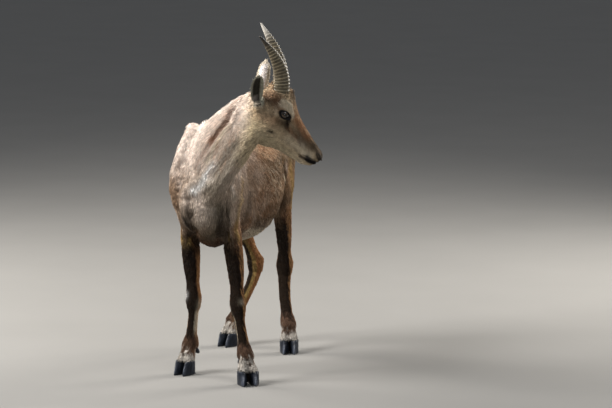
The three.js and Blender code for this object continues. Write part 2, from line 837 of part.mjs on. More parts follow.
// The two digits of a leg, its claws and dewclaws, and the lower leg fitted to them.
function addFoot(name, leg, lower) {
  const frame = footFrame(leg);
  const height = leg.joints[7][2];
  const digits = [];
  const cuts = [halfSpace([0, 0, CLAW_HEIGHT + GAP], [0, 0, -1], CUT_REACH)];
  for (const [place, way] of [["outer", leg.side], ["inner", -leg.side]]) {
    digits.push(placed(digit(way, height, leg.splay), frame));
    cuts.push(placed(dewclaw(way, height, GAP), frame));
    add(`${name}_claw_${place}`, placed(claw(way, leg.splay), frame), "hoof");
    add(`${name}_dewclaw_${place}`, placed(dewclaw(way, height), frame), "hoof");
  }
  add(`${name}_lower`, without(joined(lower, ...digits), ...cuts), "leg");
}

function addFlesh() {
  const { extras, cuts } = headWork();
  const legs = Object.values(LEGS).map((leg) => legLoft(leg, 0));
  const whole = joined(trunkLoft(), neckLoft(), placed(headSolid(), headMatrix), ...extras, ...legs);
  let rest = without(whole, ...cuts, tailLoft(GAP));
  for (const [name, leg] of Object.entries(LEGS)) {
    let taken;
    [taken, rest] = split(rest, (gap) => legLoft(leg, LEG_SEAM + gap));
    const [lower, upper] = split(taken, (gap) => halfSpace(leg.joints[5], [0, 0, -1], HOCK_REACH, gap));
    add(`${name}_upper`, upper, "leg");
    addFoot(name, leg, lower);
  }
  const [head, trunkAndNeck] = split(rest, (gap) => halfSpace(...HEAD_SEAM, gap));
  const [neck, torso] = split(trunkAndNeck, (gap) => halfSpace(...NECK_SEAM, gap));
  add("head", head, "coat");
  add("neck", neck, "coat");
  add("torso", torso, "flank");
  add("tail", largest(joined(tailLoft(0), ...tailLocks())), "leg");
}

addFlesh();

// The origin is on the floor, below the middle of the whole.
const box = new THREE.Box3().setFromObject(ibex);
const middle = box.getCenter(new THREE.Vector3());
ibex.position.set(-middle.x, -middle.y, 0);

export default ibex;
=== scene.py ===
"""A life-size alpine ibex nanny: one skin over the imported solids, a coat of mesh tufts, eyes, horns
and hooves.

Places are in millimetres in the animal's own frame: the trunk lies along Y with the chest at -Y, the
left side is at +X, and Y = 0 is the line of the fore hooves. The head has a frame of its own.
"""

import math

import bmesh
import bpy
import numpy as np
from mathutils import Matrix, Vector


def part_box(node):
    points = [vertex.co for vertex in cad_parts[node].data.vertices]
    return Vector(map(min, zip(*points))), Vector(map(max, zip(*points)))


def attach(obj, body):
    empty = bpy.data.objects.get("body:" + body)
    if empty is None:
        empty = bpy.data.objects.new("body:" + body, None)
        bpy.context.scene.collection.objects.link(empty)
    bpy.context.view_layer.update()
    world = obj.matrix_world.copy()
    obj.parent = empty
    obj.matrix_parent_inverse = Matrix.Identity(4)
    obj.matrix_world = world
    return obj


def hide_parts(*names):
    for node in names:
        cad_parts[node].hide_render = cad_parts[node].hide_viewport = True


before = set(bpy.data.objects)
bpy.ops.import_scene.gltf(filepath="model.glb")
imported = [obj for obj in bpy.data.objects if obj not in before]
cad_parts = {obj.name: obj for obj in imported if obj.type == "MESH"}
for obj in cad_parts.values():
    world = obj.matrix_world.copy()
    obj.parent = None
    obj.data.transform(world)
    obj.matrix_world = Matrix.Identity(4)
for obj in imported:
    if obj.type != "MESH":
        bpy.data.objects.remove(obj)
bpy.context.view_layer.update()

# Frames

MM = 0.001
TRUNK_END = 578
HEAD_AT = np.array([195.0, -90.0, 778.0])
HEAD_HEADING = 22.4
HEAD_PITCH = 42.2
HEAD_ROLL = 8.3

torso_low, torso_high = (np.array(corner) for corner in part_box("torso"))
ORIGIN = np.array([(torso_low[0] + torso_high[0]) / 2, torso_high[1] - TRUNK_END * MM, 0.0])


def turned(axis, degrees):
    return np.array(Matrix.Rotation(math.radians(degrees), 3, axis))


HEAD_TURN = turned("Z", HEAD_HEADING) @ turned("Y", HEAD_PITCH) @ turned("X", HEAD_ROLL)


def to_row(points):
    return ORIGIN + np.asarray(points, float) * MM


def to_body(points):
    return (points - ORIGIN) / MM


def head_to_body(points):
    return HEAD_AT + np.asarray(points, float) @ HEAD_TURN.T


def body_to_head(points):
    return (points - HEAD_AT) @ HEAD_TURN


SIDES = {"right": -1, "left": 1}
LEGS = ["foreleg_right", "foreleg_left", "hindleg_right", "hindleg_left"]
LEG_NODES = [f"{leg}_{part}" for leg in LEGS for part in ("upper", "lower")]
EARS = [f"ear_{side}" for side in SIDES]


# Number helpers


def soft(value, start, end):
    """Rises smoothly from 0 at start to 1 at end."""
    t = np.clip((value - start) / (end - start), 0, 1)
    return t * t * (3 - 2 * t)


def unit(vectors):
    return vectors / np.maximum(np.linalg.norm(vectors, axis=-1, keepdims=True), 1e-9)


def ripples(points, size, seed, waves=6):
    """Smooth noise, mostly between -1 and 1, from crossed waves of about that length."""
    draw = np.random.default_rng(seed)
    total = np.zeros(len(points))
    bend = np.zeros(len(points))
    for _ in range(waves):
        heading = unit(draw.normal(size=3))
        pitch = 2 * math.pi / (size * draw.uniform(0.6, 1.5))
        wave = np.sin(points @ heading * pitch + draw.uniform(0, 7) + 1.3 * bend)
        bend = wave
        total += wave
    return total / math.sqrt(waves)


def smooth_path(points, count):
    """Points at even steps of a Catmull-Rom curve through the given ones."""
    points = np.asarray(points, float)
    last = len(points) - 1
    place = np.linspace(0, last, count)
    i = np.minimum(place.astype(int), last - 1)
    f = (place - i).reshape([-1] + [1] * (points.ndim - 1))
    a, b, c, d = (points[np.clip(i + k, 0, last)] for k in (-1, 0, 1, 2))
    return b + 0.5 * f * (c - a + f * (2 * a - 5 * b + 4 * c - d + f * (3 * (b - c) + d - a)))


def near_line(points, start, end):
    """Distance of each point from a straight stretch."""
    start, end = np.asarray(start, float), np.asarray(end, float)
    along = end - start
    t = np.clip((points - start) @ along / max(along @ along, 1e-9), 0, 1)
    return np.linalg.norm(points - start - t[:, None] * along, axis=1)


def beside_path(points, normals, path, limit):
    """Distance of each point from a chain of straight stretches, measured along the surface. What
    faces the chain from more than the limit above or below it counts as far."""
    best = np.full(len(points), 1e3)
    for start, end in zip(path, path[1:]):
        start, along = np.asarray(start, float), np.subtract(end, start)
        t = np.clip((points - start) @ along / (along @ along), 0, 1)
        away = points - start - t[:, None] * along
        through = (away * normals).sum(1)
        flat = np.sqrt(np.maximum((away**2).sum(1) - through**2, 0))
        best = np.minimum(best, flat + 90 * soft(abs(through), 0.7 * limit, limit))
    return best


def blob(points, at, size):
    """1 at a place, falling off softly over the sizes given along X, Y and Z."""
    return np.exp(-(((points - np.asarray(at, float)) / np.asarray(size, float)) ** 2).sum(1))


def bell(distance, radius):
    """1 at no distance, falling off softly over the radius."""
    return np.exp(-((distance / radius) ** 2))


def near_path(points, path):
    """Distance of each point from a chain of straight stretches."""
    return np.min([near_line(points, a, b) for a, b in zip(path, path[1:])], axis=0)


def whole_turn(count):
    """Angles at even steps round a whole turn."""
    return np.linspace(0, 2 * math.pi, count, endpoint=False)


def flips(values, axis):
    """Factors that bring what has a negative value over to the positive side of an axis."""
    factors = np.ones((len(values), 3))
    factors[values < 0, axis] = -1
    return factors


# Mesh helpers


def new_object(name, mesh):
    made = bpy.data.objects.new(name, mesh)
    bpy.context.scene.collection.objects.link(made)
    return made


def solid(name, points, faces):
    """A mesh object from body points in millimetres, with its faces turned outward."""
    mesh = bpy.data.meshes.new(name)
    mesh.from_pydata(to_row(points).tolist(), [], faces)
    work = bmesh.new()
    work.from_mesh(mesh)
    bmesh.ops.recalc_face_normals(work, faces=work.faces)
    work.to_mesh(mesh)
    work.free()
    return new_object(name, mesh)


def loft(rings):
    """Points and faces of equal rings in a row, with a fan at each end."""
    rings = np.asarray(rings, float)
    count, sides = rings.shape[:2]
    index = np.arange(count * sides).reshape(count, sides)
    beside = np.roll(index, -1, axis=1)
    faces = np.stack([index[:-1], beside[:-1], beside[1:], index[1:]], -1).reshape(-1, 4).tolist()
    for row, centre in ((0, count * sides), (count - 1, count * sides + 1)):
        faces += [[centre, int(a), int(b)] for a, b in zip(index[row], beside[row])]
    return np.vstack([rings.reshape(-1, 3), rings[0].mean(0), rings[-1].mean(0)]), faces


TUBE_SIDES = 12
# A direction that no tube follows
ASKEW = [0.31, 0.2, 0.93]


def tube(path, radii, count=None):
    """Points and faces of a round tube along a smooth path."""
    count = count or 6 * len(path)
    centres, radii = smooth_path(path, count), smooth_path(radii, count)
    along = unit(np.gradient(centres, axis=0))
    across = unit(np.cross(along, ASKEW))
    over = np.cross(along, across)
    angle = whole_turn(TUBE_SIDES)[None, :, None]
    spoke = across[:, None] * np.cos(angle) + over[:, None] * np.sin(angle)
    return loft(centres[:, None] + radii[:, None, None] * spoke)


def ball(centre, radius, rows=16):
    """Points and faces of a ball in rings round Z, with a small fan at each pole."""
    pole_gap = 0.06
    angle = whole_turn(2 * rows)
    ring = np.stack([np.cos(angle), np.sin(angle), np.zeros_like(angle)], -1)
    polar = np.linspace(pole_gap, math.pi - pole_gap, rows)
    rings = [ring * math.sin(p) + [0, 0, math.cos(p)] for p in polar]
    return loft(np.asarray(centre) + radius * np.asarray(rings))


def bake_modifiers(obj):
    """The object with its modifiers applied."""
    graph = bpy.context.evaluated_depsgraph_get()
    mesh = bpy.data.meshes.new_from_object(obj.evaluated_get(graph))
    obj.modifiers.clear()
    old = obj.data
    obj.data = mesh
    bpy.data.meshes.remove(old)
    return obj


def remeshed(obj, voxel):
    """One closed surface round all the object's shells, in squares of that size."""
    step = obj.modifiers.new("voxels", "REMESH")
    step.mode = "VOXEL"
    step.voxel_size = voxel * MM
    return bake_modifiers(obj)


def combined(obj, others, operation="UNION"):
    """The object joined with the others, or cut by them, which are then removed."""
    for other in others:
        step = obj.modifiers.new("join", "BOOLEAN")
        step.operation = operation
        step.solver = "MANIFOLD"
        step.object = other
        bake_modifiers(obj)
        removed(other)
    return obj


def removed(obj):
    mesh = obj.data
    bpy.data.objects.remove(obj)
    bpy.data.meshes.remove(mesh)


def points_of(obj):
    flat = np.empty(3 * len(obj.data.vertices), np.float32)
    obj.data.vertices.foreach_get("co", flat)
    return to_body(flat.reshape(-1, 3).astype(float))


def normals_of(obj):
    flat = np.empty(3 * len(obj.data.vertices), np.float32)
    obj.data.vertex_normals.foreach_get("vector", flat)
    return flat.reshape(-1, 3).astype(float)


def set_points(obj, points):
    obj.data.vertices.foreach_set("co", to_row(points).astype(np.float32).ravel())
    obj.data.update()


def gathered(values, a, b):
    """At each vertex, the sum of the values at the other ends of its edges."""
    return np.bincount(a, values[b], len(values)) + np.bincount(b, values[a], len(values))


def smooth(obj, rounds, weight=None, keep=True):
    """Evens out a surface. With keep, small bumps go but the volume stays."""
    points = points_of(obj)
    edges = np.empty(2 * len(obj.data.edges), np.int32)
    obj.data.edges.foreach_get("vertices", edges)
    a, b = edges.reshape(-1, 2).T
    neighbours = np.maximum(gathered(np.ones(len(points)), a, b), 1)[:, None]
    share = 1.0 if weight is None else weight[:, None]
    for _ in range(rounds):
        for step in (0.55, -0.58) if keep else (0.5,):
            total = np.stack([gathered(points[:, k], a, b) for k in range(3)], -1)
            points = points + share * step * (total / neighbours - points)
    set_points(obj, points)
    return obj


HALF_SPACE = 3000


def half_space(at, normal):
    """A big box whose one face passes through a place, all of it on the normal's side."""
    corners = np.array([[x, y, z] for x in (-1, 1) for y in (-1, 1) for z in (0, 2)]) * HALF_SPACE / 2
    facing = np.array(Vector(normal).normalized().to_track_quat("Z", "Y").to_matrix())
    faces = [[0, 1, 3, 2], [4, 6, 7, 5], [0, 4, 5, 1], [2, 3, 7, 6], [0, 2, 6, 4], [1, 5, 7, 3]]
    return solid("half_space", corners @ facing.T + np.asarray(at, float), faces)


def flesh_copy(name, nodes, grow=0.4):
    """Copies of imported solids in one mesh, each grown a little so that they meet."""
    work = bmesh.new()
    for node in nodes:
        work.from_mesh(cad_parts[node].data)
    bmesh.ops.remove_doubles(work, verts=work.verts, dist=1e-6)
    work.normal_update()
    for vertex in work.verts:
        vertex.co += vertex.normal * grow * MM
    mesh = bpy.data.meshes.new(name)
    work.to_mesh(mesh)
    work.free()
    return new_object(name, mesh)


# Legs' centre lines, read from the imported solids

LEG_LEVELS = np.array([560, 500, 440, 390, 340, 290, 245, 220, 190, 165, 140, 115, 90, 62])


def leg_line(leg):
    """The middle of a leg's section at each level, in body millimetres."""
    starts, ends = [], []
    for part in ("upper", "lower"):
        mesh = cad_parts[f"{leg}_{part}"].data
        points = to_body(np.array([v.co for v in mesh.vertices]))
        pairs = np.array([edge.vertices[:] for edge in mesh.edges])
        starts.append(points[pairs[:, 0]])
        ends.append(points[pairs[:, 1]])
    starts, ends = np.vstack(starts), np.vstack(ends)
    line = []
    for level in LEG_LEVELS:
        crosses = (starts[:, 2] - level) * (ends[:, 2] - level) < 0
        a, b = starts[crosses], ends[crosses]
        section = a + (b - a) * ((level - a[:, 2]) / (b[:, 2] - a[:, 2]))[:, None]
        line.append((section.min(0) + section.max(0)) / 2)
    return np.array(line)


LINES = {leg: leg_line(leg) for leg in LEGS}


def leg_at(leg, heights):
    """X and Y of a leg's centre line at given heights."""
    line = LINES[leg][::-1]
    return np.stack([np.interp(heights, line[:, 2], line[:, k]) for k in (0, 1)], -1)


# Head forms, in the head's frame: +X to the nose, +Y to the left, +Z to the forehead

EYE = np.array([51.0, 38.0, 54.0])
EYE_RADIUS = 15.5
LID_HALF_LENGTH = 15
LID_HALF_HEIGHT = 10.5
LID_SLANT = 0.08
# Start and end angle of each lid, and the radius of its rim and of the fold beyond it
LIDS = [(-6, 186, 2.5, 4.2), (174, 366, 2.0, 3.2)]
# Width of the opening as a share of the lids' width, and its distance from the eye's middle
LID_FUNNEL = [(0.96, 4), (0.96, EYE_RADIUS * 0.6), (1.3, EYE_RADIUS + 2), (1.8, EYE_RADIUS + 16)]
EAR_ROOT = np.array([-10.0, 36.0, 11.0])
EAR_ROOT_PATH = [[-10, 30, 6], [-16, 42, 20], [-24, 50, 32]]
EAR_ROOT_RADII = [16, 14, 11]
EAR_TIPS = {-1: (-78, -97, 99), 1: (-74, 97, 106)}
EAR_OPENINGS = {-1: (0.62, -0.78, -0.07), 1: (0.42, 0.84, -0.3)}
EAR_HALF_WIDTH = 18.5
EAR_CUP = 14
EAR_BEND = 7
EAR_WIDTHS = [0.5, 0.64, 0.86, 0.98, 1.02, 0.95, 0.76, 0.14]
EAR_CUPS = [0, 0.2, 0.9, 1, 0.9, 0.65, 0.3, 0.02]
EAR_WALLS = [22, 20, 8, 3, 2.6, 2.4, 2.2, 1.6]
HORN_PATH = [
    [10, 24, 70],
    [6, 29, 90],
    [-14, 33, 117],
    [-42, 38, 140],
    [-76, 46, 157],
    [-110, 57, 168],
    [-146, 70, 176],
]
HORN_DEPTHS = [20.5, 21.5, 20.8, 19, 14.8, 9, 2.4]
HORN_HALF_WIDTHS = [15.5, 16.5, 15.4, 13.3, 10.5, 6.6, 2.2]
HORN_RINGS = 23
HORN_FRONT = [1, 0, 0.4]


def sided(points, way):
    return np.asarray(points, float) * [1, way, 1]


def eye_axes(way):
    """Out of the eye, along the lids to the nose, and up across them."""
    out = unit(np.array([0.2, way, 0.15]))
    along = np.array([1, -0.2 * way, 0.1])
    along = unit(along - (along @ out) * out)
    over = np.cross(out, along)
    return out, along, over if over[2] > 0 else -over


def lid_rise(height, angle):
    """Height of the lids' almond at an angle round it."""
    return height * np.sin(angle) * (1 - 0.2 * abs(np.cos(angle)))


def lid_curve(way, start, end, length, height, rest, count=12):
    """Points on a shell round the eye, along an almond from one angle to another."""
    out, along, over = eye_axes(way)
    angle = np.radians(np.linspace(start, end, count))
    u = length * np.cos(angle)
    v = lid_rise(height, angle) + LID_SLANT * u
    lift = np.sqrt(np.maximum(rest * rest - u * u - v * v, 4))
    return sided(EYE, way) + u[:, None] * along + v[:, None] * over + lift[:, None] * out


def ear_axes(way):
    """An ear's length, and its directions to the tip, out of its opening and across it."""
    along = EAR_TIPS[way] - sided(EAR_ROOT, way)
    length = np.linalg.norm(along)
    along = along / length
    opening = np.array(EAR_OPENINGS[way])
    opening = unit(opening - (opening @ along) * along)
    return length, along, opening, np.cross(along, opening)


def ear_rings(way, count=30):
    """Rings of a leaf curled into a cup, with low folds inside."""
    length, along, opening, across = ear_axes(way)
    shapes = [smooth_path(values, count) for values in (EAR_WIDTHS, EAR_CUPS, EAR_WALLS)]
    rings = []
    for t, width, cup, wall in zip(np.linspace(0, 1, count), *shapes):
        half = EAR_HALF_WIDTH * width
        centre = sided(EAR_ROOT, way) + along * length * t - opening * EAR_BEND * math.sin(math.pi * t)
        v = np.concatenate([np.linspace(-1, 1, 15), np.linspace(0.94, -0.94, 14)])
        face = np.concatenate([np.full(15, -1.0), np.full(14, 1.0)])
        curl = EAR_CUP * cup * (1 - v**2)
        fold = 1.6 * cup * np.maximum(face, 0) * np.cos(3 * math.pi * v) * (1 - v**2)
        lift = face * wall * (1 - v**2) * 0.5 - curl + fold
        rings.append(centre + np.outer(half * v, across) + np.outer(lift, opening))
    return np.array(rings)


def leaf_place(head_points, way):
    """Place along an ear, place across it, and whether it is near."""
    length, along, _, across = ear_axes(way)
    from_root = head_points - sided(EAR_ROOT, way)
    t = from_root @ along / length
    widths = np.interp(t, np.linspace(0, 1, len(EAR_WIDTHS)), EAR_WIDTHS)
    v = from_root @ across / (EAR_HALF_WIDTH * widths)
    off = np.linalg.norm(from_root - np.outer(t * length, along), axis=1)
    near = (1 - soft(off, 26, 34)) * (head_points[:, 1] * way > 26)
    return t, v, near


def horn_stations(way, count):
    """Centre line and half sizes of a horn. The left one stands a little further back."""
    path = np.array(HORN_PATH, float)
    place = np.arange(len(path))
    if way > 0:
        path += np.stack([-4 - 1.1 * place, 0 * place, 0.2 * place**2 - 5], -1)
    centres = sided(smooth_path(path, count), way)
    return centres, smooth_path(HORN_DEPTHS, count), smooth_path(HORN_HALF_WIDTHS, count)


def nostril_path(way):
    return sided([[216, 9, 18], [211, 15, 21.5], [204, 20, 26], [194, 24, 29.5]], way)


MOUTH = [[166, 27.5, -7], [180, 27, -4], [194, 25.5, -0.5], [206, 20, 3], [213, 11, 4.5], [216.5, 0, 5]]


def mouth_path():
    return np.array(MOUTH + [[x, -y, z] for x, y, z in MOUTH[-2::-1]])


def head_solid(name, points_and_faces):
    points, faces = points_and_faces
    return solid(name, head_to_body(points), faces)


def head_base():
    """The head and neck as one smooth closed surface, with the sockets filled from below."""
    base = flesh_copy("head_base", ["head", "neck"])
    fillers = []
    for way in SIDES.values():
        path, _, widths = horn_stations(way, 7)
        fillers.append(head_solid("pedicle", tube(path[:3], widths[:3] * 0.92)))
        fillers.append(head_solid("socket", ball(sided(EYE, way), EYE_RADIUS - 0.9)))
        fillers.append(head_solid("ear_root", tube(sided(EAR_ROOT_PATH, way), EAR_ROOT_RADII)))
    return smooth(remeshed(joined(base, fillers), HEAD_VOXEL), 60)


def joined(obj, others):
    """All the shells in one mesh, with nothing cut."""
    work = bmesh.new()
    for each in [obj] + others:
        work.from_mesh(each.data)
    for each in others:
        removed(each)
    work.to_mesh(obj.data)
    work.free()
    return obj


def lid_opening(way):
    """What is open between the lids, widening outward like a funnel."""
    out, along, over = eye_axes(way)
    angle = whole_turn(28)
    rings = []
    for scale, depth in LID_FUNNEL:
        u = LID_HALF_LENGTH * scale * np.cos(angle)
        v = lid_rise(LID_HALF_HEIGHT * scale, angle)
        rings.append(sided(EYE, way) + np.outer(u, along) + np.outer(v, over) + depth * out)
    return head_solid("opening", loft(rings))


def head_features(base):
    """Lids, lips and nostril rims laid on the smooth head, and what is carved from it."""
    combined(base, [lid_opening(way) for way in SIDES.values()], "DIFFERENCE")
    added, carved = [], []

    def rod(group, name, path, radii, count=None):
        group.append(head_solid(name, tube(path, radii, count)))

    for way in SIDES.values():
        nostril = nostril_path(way)
        rod(added, "nostril_rim", nostril + sided([1, 2.5, 1.5], way), [3, 5.5, 6, 4])
        for start, end, rim, fold in LIDS:
            sizes = (LID_HALF_LENGTH - 0.4, LID_HALF_HEIGHT + 0.4, EYE_RADIUS + 0.8)
            rod(added, "lid", lid_curve(way, start, end, *sizes), [1.3, rim, rim + 0.2, rim, 1.3], 30)
            sizes = (LID_HALF_LENGTH + 4.5, LID_HALF_HEIGHT + 5.5, EYE_RADIUS + 0.2)
            rod(added, "lid", lid_curve(way, start, end, *sizes), [2.6, fold, fold + 0.4, fold, 2.6], 30)
        _, along, over = eye_axes(way)
        corner = lid_curve(way, 0, 1, LID_HALF_LENGTH + 1, LID_HALF_HEIGHT, EYE_RADIUS + 2, 2)[0]
        duct = [corner - along * 4, corner + along * 4 - over, corner + along * 12 - over * 5]
        rod(carved, "tear_duct", duct, [1.6, 2.2, 0.9])
        rod(carved, "nostril", nostril + sided([1.5, 1, 0], way), [2.4, 5.0, 4.6, 1.8])
    lips = mouth_path()
    rod(added, "lip", lips + [-2, 0, 4.5], [2.5, 4.4, 4.6, 4.6, 4.6, 4.4, 2.5], 60)
    rod(added, "lip", lips * [1, 0.97, 1] + [-4, 0, -5], [2.5, 4.2, 4.6, 4.6, 4.6, 4.2, 2.5], 60)
    rod(carved, "mouth", lips + [1, 0, 0], [1.4, 2.6, 3.0, 3.0, 3.0, 2.6, 1.4], 60)
    rod(carved, "philtrum", [[219, 0, 27], [221, 0, 17], [220, 0, 6]], [1.4, 2, 1.6])
    whole = smooth(remeshed(joined(base, added), FEATURE_VOXEL), 2, keep=False)
    return smooth(combined(whole, carved, "DIFFERENCE"), 1, keep=False)


# Soft forms: muscle, bone and hollow, each a stretch from place to place, its radius and its push

# Those of the first list lie on both sides, those of the second on the midline or on one side.
BODY_FORMS = [
    ((72, 66, 706), (94, 4, 580), 15, 4),
    ((100, 112, 660), (106, 116, 520), 26, -6),
    ((60, 10, 690), (74, -34, 600), 13, -5),
    ((98, 420, 632), (98, 420, 632), 22, 6),
    ((98, 372, 600), (92, 380, 520), 13, -8),
    ((92, 380, 520), (84, 384, 450), 12, -9),
    ((96, 420, 520), (88, 420, 440), 15, 5),
    ((96, 505, 620), (84, 520, 480), 12, -6),
    ((44, 552, 640), (44, 552, 640), 18, 5),
    ((36, -62, 520), (48, -44, 450), 20, 5),
    ((40, 20, 396), (60, 150, 398), 16, -3),
    ((88, 60, 470), (92, 90, 440), 14, -6),
    ((30, 100, 728), (34, 480, 712), 16, -2.5),
]
SINGLE_FORMS = [
    ((0, 60, 738), (0, 545, 706), 13, 3),
    ((0, -70, 520), (0, -40, 440), 12, -5),
    ((0, -30, 430), (0, 70, 376), 16, 4),
    ((150, -126, 690), (60, -114, 590), 15, -5),
    ((166, -104, 655), (80, -118, 560), 13, 3),
    ((99, -52, 560), (126, -50, 610), 18, -10),
    ((98, 41, 567), (105, 15, 514), 11, 6),
    ((105, 15, 514), (97, 19, 410), 10, 6),
    ((28, -66, 500), (24, -50, 430), 18, 6),
    ((-118, 24, 540), (-104, 20, 467), 12, 4),
]
NECK_FOLD = [
    (142, -116, 790),
    (118, -122, 755),
    (96, -119, 732),
    (61, -113, 680),
    (9, -98, 632),
    (-8, -90, 600),
]
NECK_CREASE = [
    (117, -104, 787),
    (104, -112, 762),
    (80, -110, 737),
    (52, -104, 708),
    (14, -97, 664),
    (-22, -82, 618),
    (-38, -70, 570),
]
# Chains of stretches, each with its radius and push: folds of the neck and the hollows of the chest
FOLDS = [
    (NECK_FOLD, 10, 8),
    (NECK_CREASE, 12, -11),
    ([(150, -40, 820), (100, -52, 790), (60, -60, 758), (30, -50, 736)], 8, -4),
    ([(-24, -85, 521), (-16, -83, 478), (-20, -42, 424), (-42, 33, 388)], 15, -13),
    ([(96, -46, 536), (86, -49, 493), (74, -31, 447), (58, -4, 399)], 15, -14),
    ([(-60, -30, 620), (-50, -60, 560), (-44, -72, 520)], 13, -6),
]
HEAD_FORMS = [
    ((84, 40, 22), (150, 26, 14), 8, 3.5),
    ((84, 34, 44), (116, 24, 34), 10, -3.5),
    ((16, 49, 42), (26, 49, 28), 13, -4),
    ((10, 44, -40), (70, 34, -50), 13, 2.5),
    ((110, 30, -24), (150, 26, -16), 10, -2.5),
    ((25, 44, 80), (50, 40, 83), 7, 3),
    ((50, 40, 83), (75, 33, 69), 6, 3),
    ((30, 50, 66), (50, 49, 73), 5, -1.6),
    ((168, 24, 18), (188, 24, 10), 9, 1.5),
    ((60, 48, 22), (40, 50, 8), 10, 2),
]
RIB_COUNT = 7
WAVE_HEIGHT = 2.2
# Heights of the joints over the floor
HOCK_LEVEL = 246
KNEE_LEVEL = 214
FETLOCK_LEVEL = 84
# Thickness of the lying coat, and how much thinner it gets down the legs
TRUNK_COAT = 7.0
LEG_THINNING = 4.6
HEAD_COAT = 1.3


def ribs():
    """Low ridges down the barrel's sides."""
    places = range(RIB_COUNT)
    starts = [(62, 150 + 29 * i, 672 - 3 * i) for i in places]
    ends = [(112 - 2 * i, 178 + 32 * i, 476 + 8 * i) for i in places]
    return [(start, end, 8, 2.2) for start, end in zip(starts, ends)]


def pushed(points, forms, mirror=None):
    """How far each point moves outward for a list of forms, on both sides of the axis named, if any."""
    both = [np.ones(3)]
    if mirror is not None:
        both.append(np.where(np.arange(3) == mirror, -1.0, 1.0))
    push = np.zeros(len(points))
    for start, end, radius, height in forms:
        for flip in both:
            push += height * bell(near_line(points, start * flip, end * flip), radius)
    return push


def flank_waves(points):
    """Low waves of the moulting coat that run back and down over the left flank, from -1 to 1."""
    place = points[:, 2] + 0.9 * (points[:, 1] - 170) + 14 * ripples(points, 70, 12)
    where = soft(points[:, 0], 60, 90) * soft(points[:, 1], 120, 150) * (1 - soft(points[:, 1], 330, 370))
    return np.sin(place * 2 * math.pi / 15) * where * blob(points, (110, 240, 560), (60, 110, 90))


def leg_forms(points):
    """Knees, fetlocks, hocks and the tendons' grooves, at heights along each leg's centre line."""
    push = np.zeros(len(points))
    z = points[:, 2]
    for leg in LEGS:
        away = points[:, :2] - leg_at(leg, z)
        distance = np.linalg.norm(away, axis=1)
        own = (1 - soft(distance, 34, 46)) * (z < 345)
        forward = -away[:, 1] / np.maximum(distance, 1)
        sideways = abs(away[:, 0]) / np.maximum(distance, 1)
        knee = HOCK_LEVEL if "hind" in leg else KNEE_LEVEL
        push += own * 2.6 * bell(z - knee, 17)
        push += own * 2.2 * bell(z - FETLOCK_LEVEL, 15)
        groove = soft(z, 100, 118) * (1 - soft(z, knee - 36, knee - 18))
        push -= own * groove * (1.2 + 1.4 * soft(sideways, 0.5, 0.95))
        push += own * groove * 1.2 * soft(-forward, 0.6, 0.95)
        push -= own * 1.5 * bell(z - knee - 46, 22)
    return push


def head_share(points):
    """1 ahead of a slanting plane behind the jaw. That is the head, and also the upper left of the
    back and rump, which lie ahead of the plane because the head is turned to the left."""
    h = body_to_head(points)
    return soft(h[:, 0] + 0.55 * h[:, 2], -60, 0) * soft(h[:, 2], -190, -110)


def coat_depth(points):
    """Thickness of the lying coat, thinner down the legs and on the head."""
    head = head_share(points)
    leg = 1 - soft(points[:, 2], 330, 470)
    trunk = TRUNK_COAT - LEG_THINNING * leg
    return trunk * (1 - head) + HEAD_COAT * head


# Sizes of the squares that each part of the skin is made of
TRUNK_VOXEL = 5
LEG_VOXEL = 2.6
HEAD_VOXEL = 1.6
FEATURE_VOXEL = 1.45
# Where the head's finer skin meets the trunk's, and the legs' height
SEAM_AT = (140, -76, 735)
SEAM_FACING = (0.65, -0.3, 0.5)
LEG_SEAM = 362


def web(leg):
    """The fold of skin between a foot's two claws, from above the hooves to near the floor."""
    claws = [np.mean(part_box(f"{leg}_claw_{place}"), axis=0) for place in ("outer", "inner")]
    between = to_body(np.mean(claws, axis=0))[:2]
    fetlock = centre_at(leg, 80)
    path = [[*(fetlock + share * (between - fetlock)), z] for share, z in ((0.5, 64), (0.66, 42), (0.72, 7))]
    return solid("web", *tube(path, [11, 9, 7.5]))


def build_skin():
    """One closed skin under the coat, finest at the head."""
    whole = flesh_copy("skin", ["head", "neck", "torso"] + LEG_NODES)
    trunk = smooth(remeshed(whole, TRUNK_VOXEL), 26)
    legs = joined(flesh_copy("legs", LEG_NODES), [web(leg) for leg in LEGS])
    legs = smooth(remeshed(legs, LEG_VOXEL), 30)
    head = head_features(head_base())
    behind = -np.array(SEAM_FACING)
    facing = -unit(behind)
    combined(trunk, [half_space(np.array(SEAM_AT) + 4 * facing, SEAM_FACING)], "DIFFERENCE")
    combined(trunk, [half_space((0, 0, LEG_SEAM), (0, 0, -1))], "DIFFERENCE")
    combined(legs, [half_space((0, 0, LEG_SEAM + 5), (0, 0, 1))], "DIFFERENCE")
    combined(head, [half_space(SEAM_AT, behind)], "DIFFERENCE")
    ears = [head_solid("ear", loft(ear_rings(way))) for way in SIDES.values()]
    combined(trunk, [legs, head] + ears + [solid("tail", *loft(tail_rings()))])
    trim_scraps(trunk)
    points = points_of(trunk)
    seam = bell((points - SEAM_AT) @ facing, 14) + bell(points[:, 2] - LEG_SEAM, 12)
    for way in SIDES.values():
        t, _, near = leaf_place(body_to_head(points), way)
        seam += bell(t - 0.16, 0.09) * near
    smooth(trunk, 12, np.clip(seam, 0, 1), keep=False)
    points, normals = points_of(trunk), normals_of(trunk)
    head_points = body_to_head(points)
    face = head_share(points)
    push = pushed(points, BODY_FORMS + ribs(), 0) + pushed(points, SINGLE_FORMS)
    folds = sum(height * bell(near_path(points, path), radius) for path, radius, height in FOLDS)
    push += folds + WAVE_HEIGHT * flank_waves(points)
    push = push * (1 - face) + pushed(head_points, HEAD_FORMS, 1) * face
    push += leg_forms(points)
    push = (push - coat_depth(points)) * (1 - ear_share(points)) * (1 - tail_share(points))
    push = push * eye_guard(head_points)
    set_points(trunk, points + normals * push[:, None])
    return trunk


